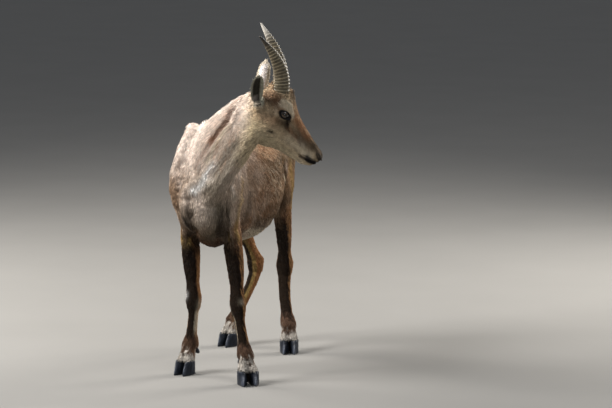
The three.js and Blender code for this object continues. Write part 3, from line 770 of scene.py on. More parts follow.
def trim_scraps(obj):
    """Keeps the largest shell."""
    work = bmesh.new()
    work.from_mesh(obj.data)
    bmesh.ops.remove_doubles(work, verts=work.verts, dist=2e-5)
    left, best = set(work.verts), []
    while left:
        shell, edge = [], [left.pop()]
        while edge:
            vertex = edge.pop()
            shell.append(vertex)
            for link in vertex.link_edges:
                other = link.other_vert(vertex)
                if other in left:
                    left.remove(other)
                    edge.append(other)
        best = max(best, shell, key=len)
    keep = set(best)
    bmesh.ops.delete(work, geom=[v for v in work.verts if v not in keep], context="VERTS")
    bmesh.ops.triangulate(work, faces=work.faces)
    for face in work.faces:
        face.material_index = 0
    obj.data.materials.clear()
    work.to_mesh(obj.data)
    work.free()


def ear_share(points):
    """1 on the ears' leaves."""
    head_points = body_to_head(points)
    share = np.zeros(len(points))
    for way in SIDES.values():
        t, _, near = leaf_place(head_points, way)
        share = np.maximum(share, soft(t, 0.22, 0.34) * near)
    return share


def eye_guard(head_points):
    """0 close to the eyes, where the lids must stay, and 1 elsewhere."""
    guard = np.ones(len(head_points))
    for way in SIDES.values():
        distance = np.linalg.norm(head_points - sided(EYE, way), axis=1)
        guard *= soft(distance, 20, 30)
    return guard


TAIL_PATH = [[0, 536, 662], [0, 562, 660], [1, 582, 642], [3, 590, 612], [4, 590, 584]]
TAIL_DEPTHS = [14, 10, 6, 4, 2]
TAIL_HALF_WIDTHS = [17, 15, 11, 8, 3]


def tail_rings(count=24, sides=16):
    """The tail's core: a short flat strip that hangs down behind the rump."""
    centres = smooth_path(TAIL_PATH, count)
    over = unit(np.cross([1.0, 0, 0], unit(np.gradient(centres, axis=0))))
    angle = whole_turn(sides)[None, :, None]
    depth, half = (smooth_path(sizes, count)[:, None, None] for sizes in (TAIL_DEPTHS, TAIL_HALF_WIDTHS))
    flat = depth * np.sin(angle) * over[:, None]
    wide = half * np.cos(angle) * np.array([1.0, 0, 0])
    return centres[:, None] + flat + wide


def tail_share(points):
    """1 on the tail, 0 on the rump."""
    return (1 - soft(near_path(points, TAIL_PATH[1:]), 18, 24)) * soft(points[:, 1], 562, 574)


# The coat's lie and length: guides with a place, the way the hair lies, and its length

SIDE_GUIDES = [
    ((0, 70, 735), (0, 1, -0.05), 17),
    ((0, 200, 716), (0, 1, 0), 16),
    ((0, 340, 708), (0, 1, 0), 14),
    ((0, 470, 716), (0, 1, -0.1), 14),
    ((0, 560, 690), (0, 0.5, -0.9), 17),
    ((86, 120, 660), (0, 0.8, -0.6), 14),
    ((60, 200, 700), (0, 0.9, -0.4), 16),
    ((60, 380, 695), (0, 0.85, -0.4), 14),
    ((110, 190, 580), (0, 0.5, -0.85), 17),
    ((120, 280, 560), (0, 0.55, -0.8), 17),
    ((106, 370, 560), (0, 0.25, -0.95), 16),
    ((110, 170, 480), (0, 0.35, -0.95), 17),
    ((110, 280, 450), (0, 0.4, -0.9), 19),
    ((60, 240, 396), (-0.3, 0.9, -0.3), 19),
    ((0, 240, 388), (0, 1, -0.1), 19),
    ((60, 380, 460), (-0.2, 0.4, -0.9), 14),
    ((94, 450, 640), (0, 0.4, -0.9), 16),
    ((100, 440, 540), (0, 0.1, -1), 14),
    ((80, 520, 560), (0, 0.2, -1), 14),
    ((30, 578, 600), (0, 0.05, -1), 14),
    ((80, 40, 690), (0, 0.5, -0.85), 14),
    ((98, 40, 610), (0, 0.3, -0.95), 14),
    ((104, 40, 520), (0, 0.15, -1), 13),
    ((84, -30, 600), (0, 0.2, -1), 14),
    ((50, -70, 540), (0, 0, -1), 16),
    ((0, -88, 540), (0, 0, -1), 17),
    ((30, -60, 450), (0, 0.15, -1), 16),
    ((0, 20, 386), (0, 1, -0.3), 14),
    ((45, 100, 388), (0.2, 0.9, -0.3), 13),
]
NECK_GUIDES = [
    ((30, 30, 738), (-0.5, 0.8, -0.4), 19),
    ((72, -20, 762), (-0.7, 0.4, -0.6), 20),
    ((130, -52, 806), (-0.75, 0.2, -0.6), 19),
    ((60, -98, 723), (-0.5, 0.3, -0.8), 17),
    ((108, -97, 776), (-0.65, 0.2, -0.7), 17),
    ((150, -30, 740), (-0.6, 0.4, -0.7), 14),
    ((90, 10, 690), (-0.4, 0.6, -0.7), 14),
    ((111, -128, 687), (-0.5, 0.05, -0.85), 14),
    ((53, -118, 613), (-0.35, 0, -0.95), 17),
    ((160, -110, 700), (-0.5, 0, -0.85), 12),
    ((143, -110, 646), (-0.5, 0, -0.85), 14),
    ((75, -114, 572), (-0.3, 0, -0.95), 19),
    ((110, -40, 620), (-0.4, 0.2, -0.9), 14),
    ((10, -96, 637), (-0.25, 0.1, -0.95), 17),
]
HEAD_GUIDES = [
    ((210, 12, 34), (-1, 0, 0.2), 2.6),
    ((218, 0, 14), (-0.4, 0, 0.9), 2.4),
    ((190, 26, 10), (-1, 0, -0.1), 3.2),
    ((160, 24, 24), (-1, 0, 0), 4.2),
    ((150, 0, 58), (-1, 0, 0.2), 4.6),
    ((110, 0, 66), (-1, 0, 0.3), 5.5),
    ((120, 32, 10), (-1, 0, -0.15), 5),
    ((90, 40, -10), (-0.9, 0, -0.4), 6),
    ((60, 46, -30), (-0.7, 0, -0.7), 8),
    ((20, 48, -20), (-0.8, 0, -0.6), 9),
    ((80, 14, 80), (-0.9, 0.1, 0.6), 7),
    ((60, 0, 94), (-0.7, 0, 0.7), 9),
    ((36, 0, 104), (-0.5, 0, 0.8), 11),
    ((58, 52, 70), (-0.9, 0.2, 0.4), 4),
    ((60, 50, 30), (-1, 0.1, -0.4), 4.5),
    ((20, 46, 60), (-1, 0.1, 0), 8),
    ((-14, 30, 76), (-1, 0, -0.2), 14),
    ((-30, 0, 70), (-1, 0, -0.4), 20),
    ((190, 14, -28), (-1, 0, -0.3), 5),
    ((150, 0, -40), (-1, 0, -0.4), 7),
    ((90, 0, -58), (-1, 0, -0.4), 9),
    ((30, 0, -66), (-0.9, 0, -0.5), 12),
    ((0, 42, 10), (-0.9, 0.1, -0.5), 10),
]


def all_guides():
    """Places, lies and lengths of every guide, in body millimetres."""
    places, lies, lengths = [], [], []

    def note(place, lie, length):
        places.append(place)
        lies.append(lie)
        lengths.append(length)

    for place, lie, length in SIDE_GUIDES:
        for way in (1, -1) if place[0] else (1,):
            note(np.array(place) * [way, 1, 1], np.array(lie) * [way, 1, 1], length)
    for place, lie, length in NECK_GUIDES:
        note(np.array(place), np.array(lie), length)
    for place, lie, length in HEAD_GUIDES:
        for way in (1, -1) if place[1] else (1,):
            note(head_to_body(sided(place, way)), HEAD_TURN @ sided(lie, way), length)
    for leg in LEGS:
        line = LINES[leg]
        for level in range(3, len(line) - 1):
            down = line[level + 1] - line[level - 1]
            length = 8 + 7 * float(soft(LEG_LEVELS[level], 200, 420))
            note(line[level], down + [0, 12, 0], length)
        note(line[-1], line[-1] - line[-2], 11)
    return np.array(places, float), unit(np.array(lies, float)), np.array(lengths, float)


GUIDE_PLACES, GUIDE_LIES, GUIDE_LENGTHS = all_guides()
GUIDE_REACH = 16
TAIL_HAIR = 34
EAR_HAIR = 6


def guided(points, chunk=20000):
    """Lie and length of the hair at each point, from the guides round it."""
    lies, lengths = [], []
    for start in range(0, len(points), chunk):
        some = points[start : start + chunk]
        square = ((some**2).sum(1)[:, None] + (GUIDE_PLACES**2).sum(1) - 2 * some @ GUIDE_PLACES.T).clip(0)
        weight = 1 / (square + GUIDE_REACH**2) ** 2
        weight /= weight.sum(1, keepdims=True)
        lies.append(weight @ GUIDE_LIES)
        lengths.append(weight @ GUIDE_LENGTHS)
    lies, lengths = np.vstack(lies), np.concatenate(lengths)
    tail = tail_share(points)[:, None]
    lies = lies * (1 - tail) + tail * np.array([0, 0.12, -1.0])
    lengths = lengths * (1 - tail[:, 0]) + TAIL_HAIR * tail[:, 0]
    head_points = body_to_head(points)
    for way in SIDES.values():
        _, along, _, across = ear_axes(way)
        t, v, near = leaf_place(head_points, way)
        share = (soft(t, 0.05, 0.3) * near)[:, None]
        lie = along + 0.5 * np.clip(v, -1.2, 1.2)[:, None] * across
        lies = lies * (1 - share) + share * (lie @ HEAD_TURN.T)
        lengths = lengths * (1 - share[:, 0]) + share[:, 0] * EAR_HAIR
    return unit(lies), lengths


# Coat colours and their painted shade and highlights, in linear colour

PALE = (0.78, 0.66, 0.58)
BEIGE = (0.46, 0.355, 0.275)
GREY = (0.33, 0.29, 0.225)
OLIVE = (0.12, 0.10, 0.07)
BROWN = (0.25, 0.155, 0.09)
WARM = (0.41, 0.255, 0.145)
RUST = (0.27, 0.115, 0.05)
TAN = (0.46, 0.31, 0.12)
DARK = (0.009, 0.0055, 0.0038)
SEPIA = (0.055, 0.034, 0.020)
WHITE = (0.88, 0.86, 0.84)
CREAM = (0.56, 0.48, 0.36)
ANKLE = (0.50, 0.46, 0.41)
PASTERN = (0.115, 0.066, 0.043)
# Dark rust of the moult's patches, also used as painted shade in creases and under the chest
CREASE_SHADE_AND_MOULT = (0.13, 0.06, 0.032)
STRAW = (0.25, 0.165, 0.06)
LEG_EDGE_AND_RIM_LIGHT = (0.33, 0.17, 0.07)
FACE = (0.44, 0.335, 0.215)
CHEEK = (0.50, 0.41, 0.27)
CROWN = (0.10, 0.058, 0.034)
# Bare dark skin, also used for the painted shadow under the upper lip
BARE_SKIN_AND_SHADOW = (0.014, 0.012, 0.012)
EAR_SKIN = (0.04, 0.036, 0.027)
# Ears' backs and rims by side: the left ear's painted paler as painted light, the right ear's darker as
# painted shade
EAR_BACKS_LIT_AND_SHADED = {-1: (0.33, 0.28, 0.22), 1: (0.88, 0.79, 0.74)}
EAR_RIMS_LIT_AND_SHADED = {-1: (0.42, 0.41, 0.32), 1: CREAM}

# Painted strokes: tint, strength, radius and path. Those of the first list lie on both sides.
BOTH_STROKES = [
    # Painted shade in the fold between the barrel and the thigh
    (SEPIA, 0.8, 15, [(92, 386, 560), (86, 388, 500), (82, 392, 440)]),
    (DARK, 0.95, 13, [(92, 376, 520), (86, 382, 470)]),
    # Painted rim highlight along the barrel's rear edge
    (CREAM, 0.9, 8, [(104, 350, 650), (107, 356, 590), (102, 358, 540), (94, 362, 500)]),
    (PALE, 0.5, 9, [(97, 402, 580), (97, 404, 560)]),
    (TAN, 0.75, 18, [(98, 440, 620), (94, 462, 520), (84, 476, 440)]),
    # Painted shade low on the barrel
    (SEPIA, 0.6, 20, [(84, 180, 424), (84, 260, 410)]),
    # Painted shade in the hollows behind the elbow and behind the shoulder
    (SEPIA, 0.5, 13, [(84, 100, 440), (92, 108, 520)]),
    (BROWN, 0.5, 12, [(100, 114, 560), (92, 112, 640)]),
]
STROKES = [
    (OLIVE, 0.75, 24, [(72, -58, 500), (66, -50, 470), (50, -38, 436), (34, -16, 412)]),
    (PALE, 0.55, 28, [(-30, -80, 535), (10, -93, 530), (20, -86, 480)]),
    # Painted shade in the hollows of the chest, on both sides
    (DARK, 0.75, 10, [(86, -49, 480), (70, -28, 440), (52, -4, 404)]),
    (SEPIA, 0.6, 8, [(-20, -84, 490), (-16, -80, 466), (-18, -48, 430)]),
    (DARK, 0.95, 16, [(-40, -62, 470), (-38, -48, 435), (-46, -4, 388), (-52, 18, 350)]),
    # Painted shade under the chest, between the forelegs
    (CREASE_SHADE_AND_MOULT, 0.6, 20, [(-6, 0, 398), (24, 30, 368)]),
    # Painted rim light along the left shoulder's rear edge
    (TAN, 0.6, 11, [(98, 41, 567), (105, 15, 514), (103, 13, 462), (97, 19, 410)]),
    # Painted rim light down the outer side of the right shoulder and foreleg
    (TAN, 0.85, 13, [(-122, 24, 530), (-108, 20, 467), (-94, 20, 445), (-86, 30, 388)]),
    (GREY, 0.8, 11, [(100, -38, 580), (104, -22, 530)]),
    (PALE, 0.6, 8, [(101, -34, 575), (104, -22, 545)]),
    (RUST, 0.8, 9, [(54, -98, 706), (48, -96, 700)]),
    # The neck's crease: partly dark moult patches, partly painted shade in the valley
    (CREASE_SHADE_AND_MOULT, 0.9, 8, [(117, -104, 789), (104, -112, 764), (80, -110, 739), (54, -104, 712)]),
    (RUST, 0.55, 5, [(150, -74, 815), (112, -86, 792), (88, -92, 768)]),
    # The crease's lower run: partly moult, partly painted shade
    (CREASE_SHADE_AND_MOULT, 0.5, 7, [(54, -104, 708), (14, -97, 664), (-20, -82, 620)]),
    # Painted highlight along the neck's raised ridge
    (CREAM, 0.7, 8, [(120, -124, 748), (96, -121, 726), (62, -115, 676), (40, -112, 640)]),
    (WHITE, 0.85, 14, [(58, -118, 626), (30, -112, 592), (-2, -93, 556)]),
    (PALE, 0.8, 7, [(76, -120, 640), (50, -116, 600)]),
    (PALE, 0.4, 10, [(-60, -40, 560), (-84, -30, 600)]),
    (BROWN, 0.6, 14, [(-84, -30, 570), (-74, -42, 500)]),
    (SEPIA, 0.5, 8, [(-66, -50, 500), (-58, -52, 470)]),
]
FACE_STROKES = [
    (CROWN, 0.95, 24, [(-14, 40, 56), (10, 44, 66)]),
    (CROWN, 0.8, 26, [(10, 0, 92), (40, 0, 100)]),
    # Darker behind and above the eye, along the groove there
    (CREASE_SHADE_AND_MOULT, 0.75, 14, [(10, 48, 74), (34, 50, 64)]),
    (SEPIA, 0.85, 14, [(48, 50, 33), (78, 42, 32)]),
    (DARK, 0.97, 9, [(70, 40, 46), (80, 38, 40)]),
    (DARK, 0.7, 6, [(82, 38, 40), (94, 36, 26)]),
    (RUST, 0.7, 13, [(92, 26, 60), (120, 24, 50), (144, 20, 44)]),
    (SEPIA, 0.7, 14, [(110, 30, 34), (146, 25, 28), (176, 22, 32)]),
    (CREAM, 0.85, 6.5, [(25, 46, 79), (36, 43, 85), (50, 40, 83), (64, 37, 75), (76, 33, 65)]),
    (CREAM, 0.7, 7, [(28, 50, 68), (40, 50, 74), (56, 47, 74)]),
    (CREAM, 0.35, 5, [(24, 54, 50), (34, 56, 38)]),
    (DARK, 0.95, 6, [(57, 46, -8), (63, 46, -6)]),
    (BROWN, 0.85, 18, [(-22, 30, 78), (-6, 36, 74)]),
    (CREAM, 0.5, 13, [(110, 34, 6), (150, 27, 6)]),
    (BROWN, 0.6, 16, [(40, 48, 20), (20, 50, 14)]),
    (CREAM, 0.65, 11, [(164, 26, 6), (184, 26, 10)]),
    (CREAM, 0.6, 12, [(176, 20, -24), (192, 12, -24)]),
    (SEPIA, 0.8, 6, [(162, 27, -8), (176, 27, -5)]),
    (BARE_SKIN_AND_SHADOW, 0.95, 6.5, [(214, 10, 19), (208, 17, 24), (198, 22, 28)]),
    (BARE_SKIN_AND_SHADOW, 0.85, 11, [(216, 0, 18), (216, 0, 8)]),
    # The upper lip's dark bare edge and the painted shadow under it
    (BARE_SKIN_AND_SHADOW, 0.97, 6, [(181, 27, 3), (192, 26, 3), (204, 20, 4), (212, 11, 5)]),
    (SEPIA, 0.6, 14, [(190, 0, 40), (206, 0, 32)]),
    (CHEEK, 0.6, 20, [(20, 50, -30), (70, 38, -40)]),
    # Painted shadow where the jaw meets the neck
    (SEPIA, 0.5, 12, [(-20, 46, -20), (-10, 44, -50)]),
]


def plain_tint(tint, count):
    """The same colour for so many points."""
    return np.tile(np.array(tint), (count, 1))


def layered(colour, tint, mask):
    """Colours with a tint laid over them where the mask is."""
    return colour + (np.asarray(tint) - colour) * np.clip(mask, 0, 1)[:, None]


def stroked(colour, points, normals, strokes, ragged, limit):
    """Painted strokes, soft at their edges and broken up by the noise given."""
    for tint, strength, radius, path in strokes:
        distance = beside_path(points, normals, path, limit)
        near = distance < 3 * radius
        mask = np.zeros(len(points))
        mask[near] = strength * np.exp(-((distance[near] / radius) ** 2 * (1 + 0.5 * ragged[near])))
        colour = layered(colour, tint, mask)
    return colour


def markings_and_painted_light(points, normals):
    """The coat's colour at each point of the skin, before the small variations between hairs. It holds
    painted shade in creases, hollows, between the legs and low on the body, and painted highlights on some
    ridges, rims and wave crests.
    """
    colour = plain_tint(BROWN, len(points))
    x, y, z = points.T
    rough = 0.5 * ripples(points, 60, 1) + 0.3 * ripples(points, 22, 2)
    fine = ripples(points * [1, 1, 0.4], 10, 3)
    waves, tail = flank_waves(points), tail_share(points)

    def lay(tint, mask):
        nonlocal colour
        colour = layered(colour, tint, mask)

    lay(WARM, 0.5 + 0.5 * rough)
    lay(BEIGE, soft(z + 30 * rough, 590, 720) * 0.75)
    # Painted shade: darker low on the barrel and the hindquarters
    lay(SEPIA, 0.75 * soft(-z + 30 * rough, -530, -420) * soft(y + 20 * rough, 90, 180))
    lay(RUST, blob(points, (110, 180, 540), (50, 90, 110)) * 0.45 * soft(x, 0, 60))
    # Painted shade in the troughs of the flank's waves and painted highlight on their crests, in step with
    # the raised waves of the skin
    lay(SEPIA, 0.7 * np.clip(-waves, 0, 1))
    lay(CREAM, 0.75 * np.clip(waves, 0, 1))
    lay(CREAM, 0.85 * soft(-normals[:, 2] + 0.2 * rough, 0.4, 0.8) * soft(y, 60, 160) * (z < 480))
    forward = 1 - soft(y + 50 * rough, 60, 210)
    lay(BEIGE, forward)
    lay(PALE, forward * soft(z + 24 * rough, 540, 640))
    lay(PALE, 0.95 * soft(z + 14 * rough, 668, 712) * (1 - soft(y, 200, 420)))
    lay(GREY, blob(points, (30, -90, 500), (90, 60, 110)) * 0.6)
    lay(WARM, blob(points, (-86, -20, 520), (40, 60, 50)) * 0.6)
    neck = blob(points, (110, -90, 690), (90, 60, 110))
    lay(BEIGE, neck * 0.7)
    lay(GREY, 0.75 * bell(near_line(points, (150, -118, 680), (60, -118, 570)), 40))
    lay(PALE, 0.5 * bell(near_line(points, (40, -30, 735), (150, -60, 820)), 40))
    lay(RUST, 0.5 * neck * soft(fine + 0.8 * rough, 0.5, 1.3))
    colour = lay_legs(colour, points, normals, rough, fine)
    # Painted shade on the faces turned towards the middle, between the forelegs and on the chest between
    # them
    lay(SEPIA, 0.6 * soft(normals[:, 0] * np.sign(x) * -1, 0.1, 0.7) * (z < 520) * (z > 350) * (y < 60))
    flip = flips(x, 0)
    colour = stroked(colour, points * flip, normals * flip, BOTH_STROKES, rough, 28)
    colour = stroked(colour, points, normals, STROKES, rough, 42)
    lay(DARK, tail)
    under_tail = 0.7 * soft(normals[:, 1], 0.5, 0.9) * blob(points, (0, 570, 590), (40, 40, 46))
    lay(WHITE, under_tail * (1 - tail))
    head = np.maximum(head_share(points), ear_share(points))[:, None]
    colour = colour * (1 - head) + head_colours(points, normals, rough) * head
    return colour * (1 + 0.16 * fine[:, None])


# To the right in the photo, level with the floor
SCREEN_RIGHT = np.array([0.94, 0.342, 0])
# Tint and strength of the pale patch on each knee's front
KNEE_PATCHES = {-1: (WHITE, 1.0), 1: (CREAM, 0.45)}


def lay_legs(colour, points, normals, rough, fine):
    """Dark fronts with tan and rust edges, pale knees' sides, and greyish hair above the hooves. The
    narrowest rust edge, where a leg faces straight sideways, is partly painted rim light.
    """
    z = points[:, 2]
    for leg in LEGS:
        way = -1 if "right" in leg else 1
        away = points[:, :2] - leg_at(leg, z)
        reach = 44 + 60 * soft(z, 300, 440)
        own = 1 - soft(np.linalg.norm(away, axis=1), reach, reach + 16)
        low = own * (1 - soft(z + 24 * rough, 370, 470))
        forward = -normals[:, 1] + 0.2 * rough + 0.1 * fine
        outer = normals[:, 0] * way
        sideways = abs(normals[:, 0])
        base, front = WARM, soft(forward + 0.3 * outer, -0.2, 0.3)
        if leg == "hindleg_right":
            base, front = STRAW, soft(-normals @ SCREEN_RIGHT, 0.1, 0.5)
        layers = [
            (base, low),
            (RUST, low * soft(sideways + 0.1 * fine, 0.4, 0.8) * 0.85),
            (DARK, 0.97 * low * front),
            # The narrow edge where a leg faces straight sideways: partly the leg's rust side, partly painted
            # rim light
            (LEG_EDGE_AND_RIM_LIGHT, 0.8 * low * soft(sideways + 0.08 * fine, 0.86, 0.97)),
        ]
        if "fore" in leg:
            inner = 0.75 * own * soft(-outer, 0.4, 0.9) * soft(-z, -206, -170)
            layers.append((CREAM, inner * soft(z, 100, 140)))
        layers += [
            (PASTERN, 0.8 * own * soft(-z + 9 * rough + 7 * fine, -120, -92) * soft(forward, -0.6, 0.2)),
            (ANKLE, 0.95 * own * soft(-z + 9 * rough + 9 * fine, -76, -60)),
            (DARK, own * (1 - soft(z, 37, 40))),
            (SEPIA, 0.5 * own * soft(fine, 0.4, 1.2) * soft(-z, -80, -60)),
        ]
        if "fore" in leg:
            knee = centre_at(leg, 220)
            tint, strength = KNEE_PATCHES[way]
            patch = blob(points, (*(knee + [way * 17, -10]), 229), (9, 10, 10))
            layers.append((tint, strength * own * patch))
            patch = blob(points, (*(knee - [way * 16, 4]), 206), (8, 9, 14))
            layers.append((CREAM, 0.8 * own * patch))
        for tint, mask in layers:
            colour = layered(colour, tint, mask)
    return colour


def centre_at(leg, height):
    return leg_at(leg, np.array([height]))[0]


def head_colours(points, normals, rough):
    """The face's markings, in the head's frame."""
    h = body_to_head(points)
    side = both_sides(h)
    hn = normals @ HEAD_TURN
    speckle = ripples(h, 7, 50)
    colour = plain_tint(FACE, len(points))

    def lay(tint, mask):
        nonlocal colour
        colour = layered(colour, tint, mask)

    lay(CHEEK, soft(-h[:, 2] + 8 * rough, -10, 30) * 0.8)
    lay(CREAM, 0.5 * soft(-hn[:, 2], 0.5, 0.95) * soft(-h[:, 2], 0, 30))
    top = soft(hn[:, 2], 0.25, 0.75) * soft(h[:, 0], 40, 84)
    lay(WARM, 0.8 * top * (1 - soft(h[:, 0], 150, 190)))
    lay(RUST, top * (1 - soft(h[:, 0], 140, 180)) * soft(speckle, -0.4, 0.9))
    lay(SEPIA, 0.75 * soft(hn[:, 2], 0.3, 0.8) * soft(h[:, 0] + 8 * speckle, 130, 180))
    colour = stroked(colour, side, hn * flips(h[:, 1], 1), FACE_STROKES, rough, 22)
    lay(BEIGE, 0.4 * blob(side, (-6, 34, 70), (26, 18, 16)) * soft(speckle, 0.4, 1.2))
    lay(BARE_SKIN_AND_SHADOW, 0.95 * mouth_band(side))
    for way in SIDES.values():
        colour = ear_colours(colour, h, hn, way)
    return layered(colour, BARE_SKIN_AND_SHADOW, lid_rim(side))


def both_sides(head_points):
    return np.stack([head_points[:, 0], abs(head_points[:, 1]), head_points[:, 2]], -1)


def lid_rim(side):
    """1 on the dark bare rims of the lids, drawn out at the front corner, and 0 beyond them."""
    out, along, over = eye_axes(1)
    away = side - EYE
    u, v = away @ along, away @ over
    reach = abs(u / (21 + 5 * (u > 0))) ** 1.6 + abs(v / (14.5 - 2 * (v > 0))) ** 2
    corner = bell(near_line(np.stack([u, v, 0 * u], -1), (17, -2, 0), (32, -11, 0)), 3.6)
    near = (away @ out > -2) * (abs(u) < 40) * (abs(v) < 24)
    return np.clip((1 - soft(reach, 0.68, 1.08)) + 0.9 * corner, 0, 1) * near


def mouth_band(side):
    """1 between the lips, wider to the front, falling off over a few millimetres."""
    line = near_path(side, MOUTH)
    wide = 3.6 * soft(side[:, 0], 174, 192)
    return (1 - soft(line, 1.4 + wide, 3.2 + wide)) * soft(side[:, 0], 170, 180)


def ear_inside(h, hn, way, edge):
    """1 in the hollow of an ear down to its root, out to that share of its width."""
    t, v, near = leaf_place(h, way)
    _, _, opening, _ = ear_axes(way)
    within = 1 - soft(abs(v), edge - 0.18, edge)
    return near * soft(t, 0.12, 0.22) * soft(hn @ opening, 0.05, 0.35) * within


def ear_colours(colour, h, hn, way):
    """Pale outside and at the rim, the left ear far paler than the right: painted light on the left ear and
    painted shade on the right. Inside, the right ear is dark and greyer along one side, and the left one is
    painted cream as painted light.
    """
    t, v, near = leaf_place(h, way)
    tone = plain_tint(EAR_BACKS_LIT_AND_SHADED[way], len(h))
    rim = np.maximum(soft(abs(v), 0.5, 0.72), soft(t, 0.82, 0.92))
    tone = layered(tone, EAR_RIMS_LIT_AND_SHADED[way], 0.85 * rim)
    hollow = plain_tint(EAR_SKIN, len(h))
    hollow = layered(hollow, GREY, 0.6 * soft(-v, 0.3, 0.55) * soft(t, 0.3, 0.45))
    # The left ear's hollow painted cream, as painted light
    if way > 0:
        hollow = layered(hollow, CREAM, np.full(len(h), 0.8))
    tone = layered(tone, hollow, ear_inside(h, hn, way, 0.72) * (1 - soft(t, 0.86, 0.93)))
    share = (soft(t, 0.06, 0.2) * near * (1 - soft(abs(v), 1.2, 1.6)))[:, None]
    return colour * (1 - share) + tone * share


# Materials


def material(name, roughness, specular, sheen=0.0, coat=0.0):
    """A new material, its nodes and its shader."""
    made = bpy.data.materials.new(name)
    made.use_nodes = True
    shader = made.node_tree.nodes["Principled BSDF"]
    values = {
        "Roughness": roughness,
        "Specular IOR Level": specular,
        "Sheen Weight": sheen,
        "Sheen Roughness": 0.45,
        "Coat Weight": coat,
        "Coat Roughness": 0.04,
        "IOR": 1.45,
    }
    for socket, value in values.items():
        shader.inputs[socket].default_value = value
    return made, made.node_tree, shader


def node(tree, kind, **settings):
    made = tree.nodes.new(kind)
    for key, value in settings.items():
        if key in made.inputs:
            made.inputs[key].default_value = value
        else:
            setattr(made, key.lower(), value)
    return made


def object_noise(tree, scale, detail=3.0):
    coords = tree.nodes.new("ShaderNodeTexCoord")
    noise = node(tree, "ShaderNodeTexNoise", Scale=scale, Detail=detail)
    tree.links.new(coords.outputs["Object"], noise.inputs["Vector"])
    return noise.outputs["Fac"]


def scaled(tree, value, low, high):
    """A factor remapped from 0..1 to low..high."""
    made = node(tree, "ShaderNodeMapRange", clamp=True)
    made.inputs["To Min"].default_value = low
    made.inputs["To Max"].default_value = high
    tree.links.new(value, made.inputs["Value"])
    return made.outputs["Result"]


def tinted(tree, colour, factor):
    """A colour made lighter or darker by a factor."""
    made = tree.nodes.new("ShaderNodeVectorMath")
    made.operation = "SCALE"
    tree.links.new(colour, made.inputs[0])
    tree.links.new(factor, made.inputs["Scale"])
    return made.outputs["Vector"]


def painted_material(name, roughness, mottle, grain, specular=0.06, sheen=0.03, relief=None):
    """A finish that takes its markings from the mesh, with broad mottling and fine grain. A relief is
    the scale and detail of its noise, its strength and its depth in metres."""
    made, tree, shader = material(name, roughness, specular, sheen)
    marks = node(tree, "ShaderNodeAttribute", attribute_name="markings_and_painted_light")
    patchy = scaled(tree, object_noise(tree, mottle), 0.82, 1.18)
    grained = scaled(tree, object_noise(tree, grain, 1.0), 0.86, 1.14)
    shade = tinted(tree, tinted(tree, marks.outputs["Color"], patchy), grained)
    tree.links.new(shade, shader.inputs["Base Color"])
    if relief:
        scale, detail, strength, depth = relief
        bump = node(tree, "ShaderNodeBump", Strength=strength, Distance=depth)
        tree.links.new(object_noise(tree, scale, detail), bump.inputs["Height"])
        tree.links.new(bump.outputs["Normal"], shader.inputs["Normal"])
    return made


def finished(obj, finish, slot, *replaced):
    """Gives an object its material, on the root body, in place of the nodes named. The slot is not used."""
    obj.data.shade_smooth()
    obj.data.materials.clear()
    obj.data.materials.append(finish)
    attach(obj, "root")
    if replaced:
        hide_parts(*replaced)


def paint_attribute(mesh, colours):
    layer = mesh.color_attributes.new("markings_and_painted_light", "FLOAT_COLOR", "POINT")
    flat = np.ones((len(colours), 4), np.float32)
    flat[:, :3] = np.clip(colours, 0, 1)
    layer.data.foreach_set("color", flat.ravel())


# Coat


def unwrap(obj):
    """Unwraps the skin by its own faces' directions and returns the UV of every triangle's corners."""
    bpy.context.view_layer.objects.active = obj
    obj.select_set(True)
    bpy.ops.object.mode_set(mode="EDIT")
    bpy.ops.mesh.select_all(action="SELECT")
    bpy.ops.uv.smart_project(angle_limit=math.radians(66), island_margin=0.002)
    bpy.ops.object.mode_set(mode="OBJECT")
    obj.select_set(False)
    layer = obj.data.uv_layers.active
    layer.name = "OFBake"
    flat = np.empty(2 * len(obj.data.loops), np.float32)
    layer.uv.foreach_get("vector", flat)
    return flat.reshape(-1, 3, 2).astype(float)


class Surface:
    """The skin's triangles, to scatter roots on."""

    def __init__(self, obj):
        self.points, self.normals, self.uvs = points_of(obj), normals_of(obj), unwrap(obj)
        flat = np.empty(3 * len(obj.data.polygons), np.int32)
        obj.data.loops.foreach_get("vertex_index", flat)
        self.faces = flat.reshape(-1, 3)
        a, b, c = (self.points[self.faces[:, k]] for k in range(3))
        self.areas = np.linalg.norm(np.cross(b - a, c - a), axis=1) / 2
        self.middles = (a + b + c) / 3

    def scatter(self, density, seed):
        """Root places, normals and UVs, with so many to a square millimetre round each triangle."""
        draw = np.random.default_rng(seed)
        expected = self.areas * density
        counts = np.floor(expected + draw.random(len(expected))).astype(int)
        chosen = np.repeat(np.arange(len(counts)), counts)
        r1, r2 = np.sqrt(draw.random(len(chosen))), draw.random(len(chosen))
        share = np.stack([1 - r1, r1 * (1 - r2), r1 * r2], -1)[:, :, None]
        corners = self.faces[chosen]
        places = (self.points[corners] * share).sum(1)
        normals = unit((self.normals[corners] * share).sum(1))
        uvs = (self.uvs[chosen] * share).sum(1)
        return places, normals, uvs, draw


# Size of the patch of the skin's own UV that a tuft takes
UV_PATCH = 0.003
# Place along a tuft and share of its width, for each ring
SHORT_TUFT = [(0.42, 1.0)]
LONG_TUFT = [(0.28, 1.0), (0.66, 0.72)]
SHORT_BEND = 0.12
ROOT_DEPTH = 1.2
STRAY = 0.1
# Brightness of a tuft at its root, edges, ridge and tip: painted shade darkens the buried root and the
# edges, painted highlight lightens the ridge and the tip
ROOT_PAINTED_SHADE = 0.78
EDGE_PAINTED_SHADE = 0.96
RIDGE_PAINTED_HIGHLIGHT = 1.03
TIP_PAINTED_HIGHLIGHT = 1.07


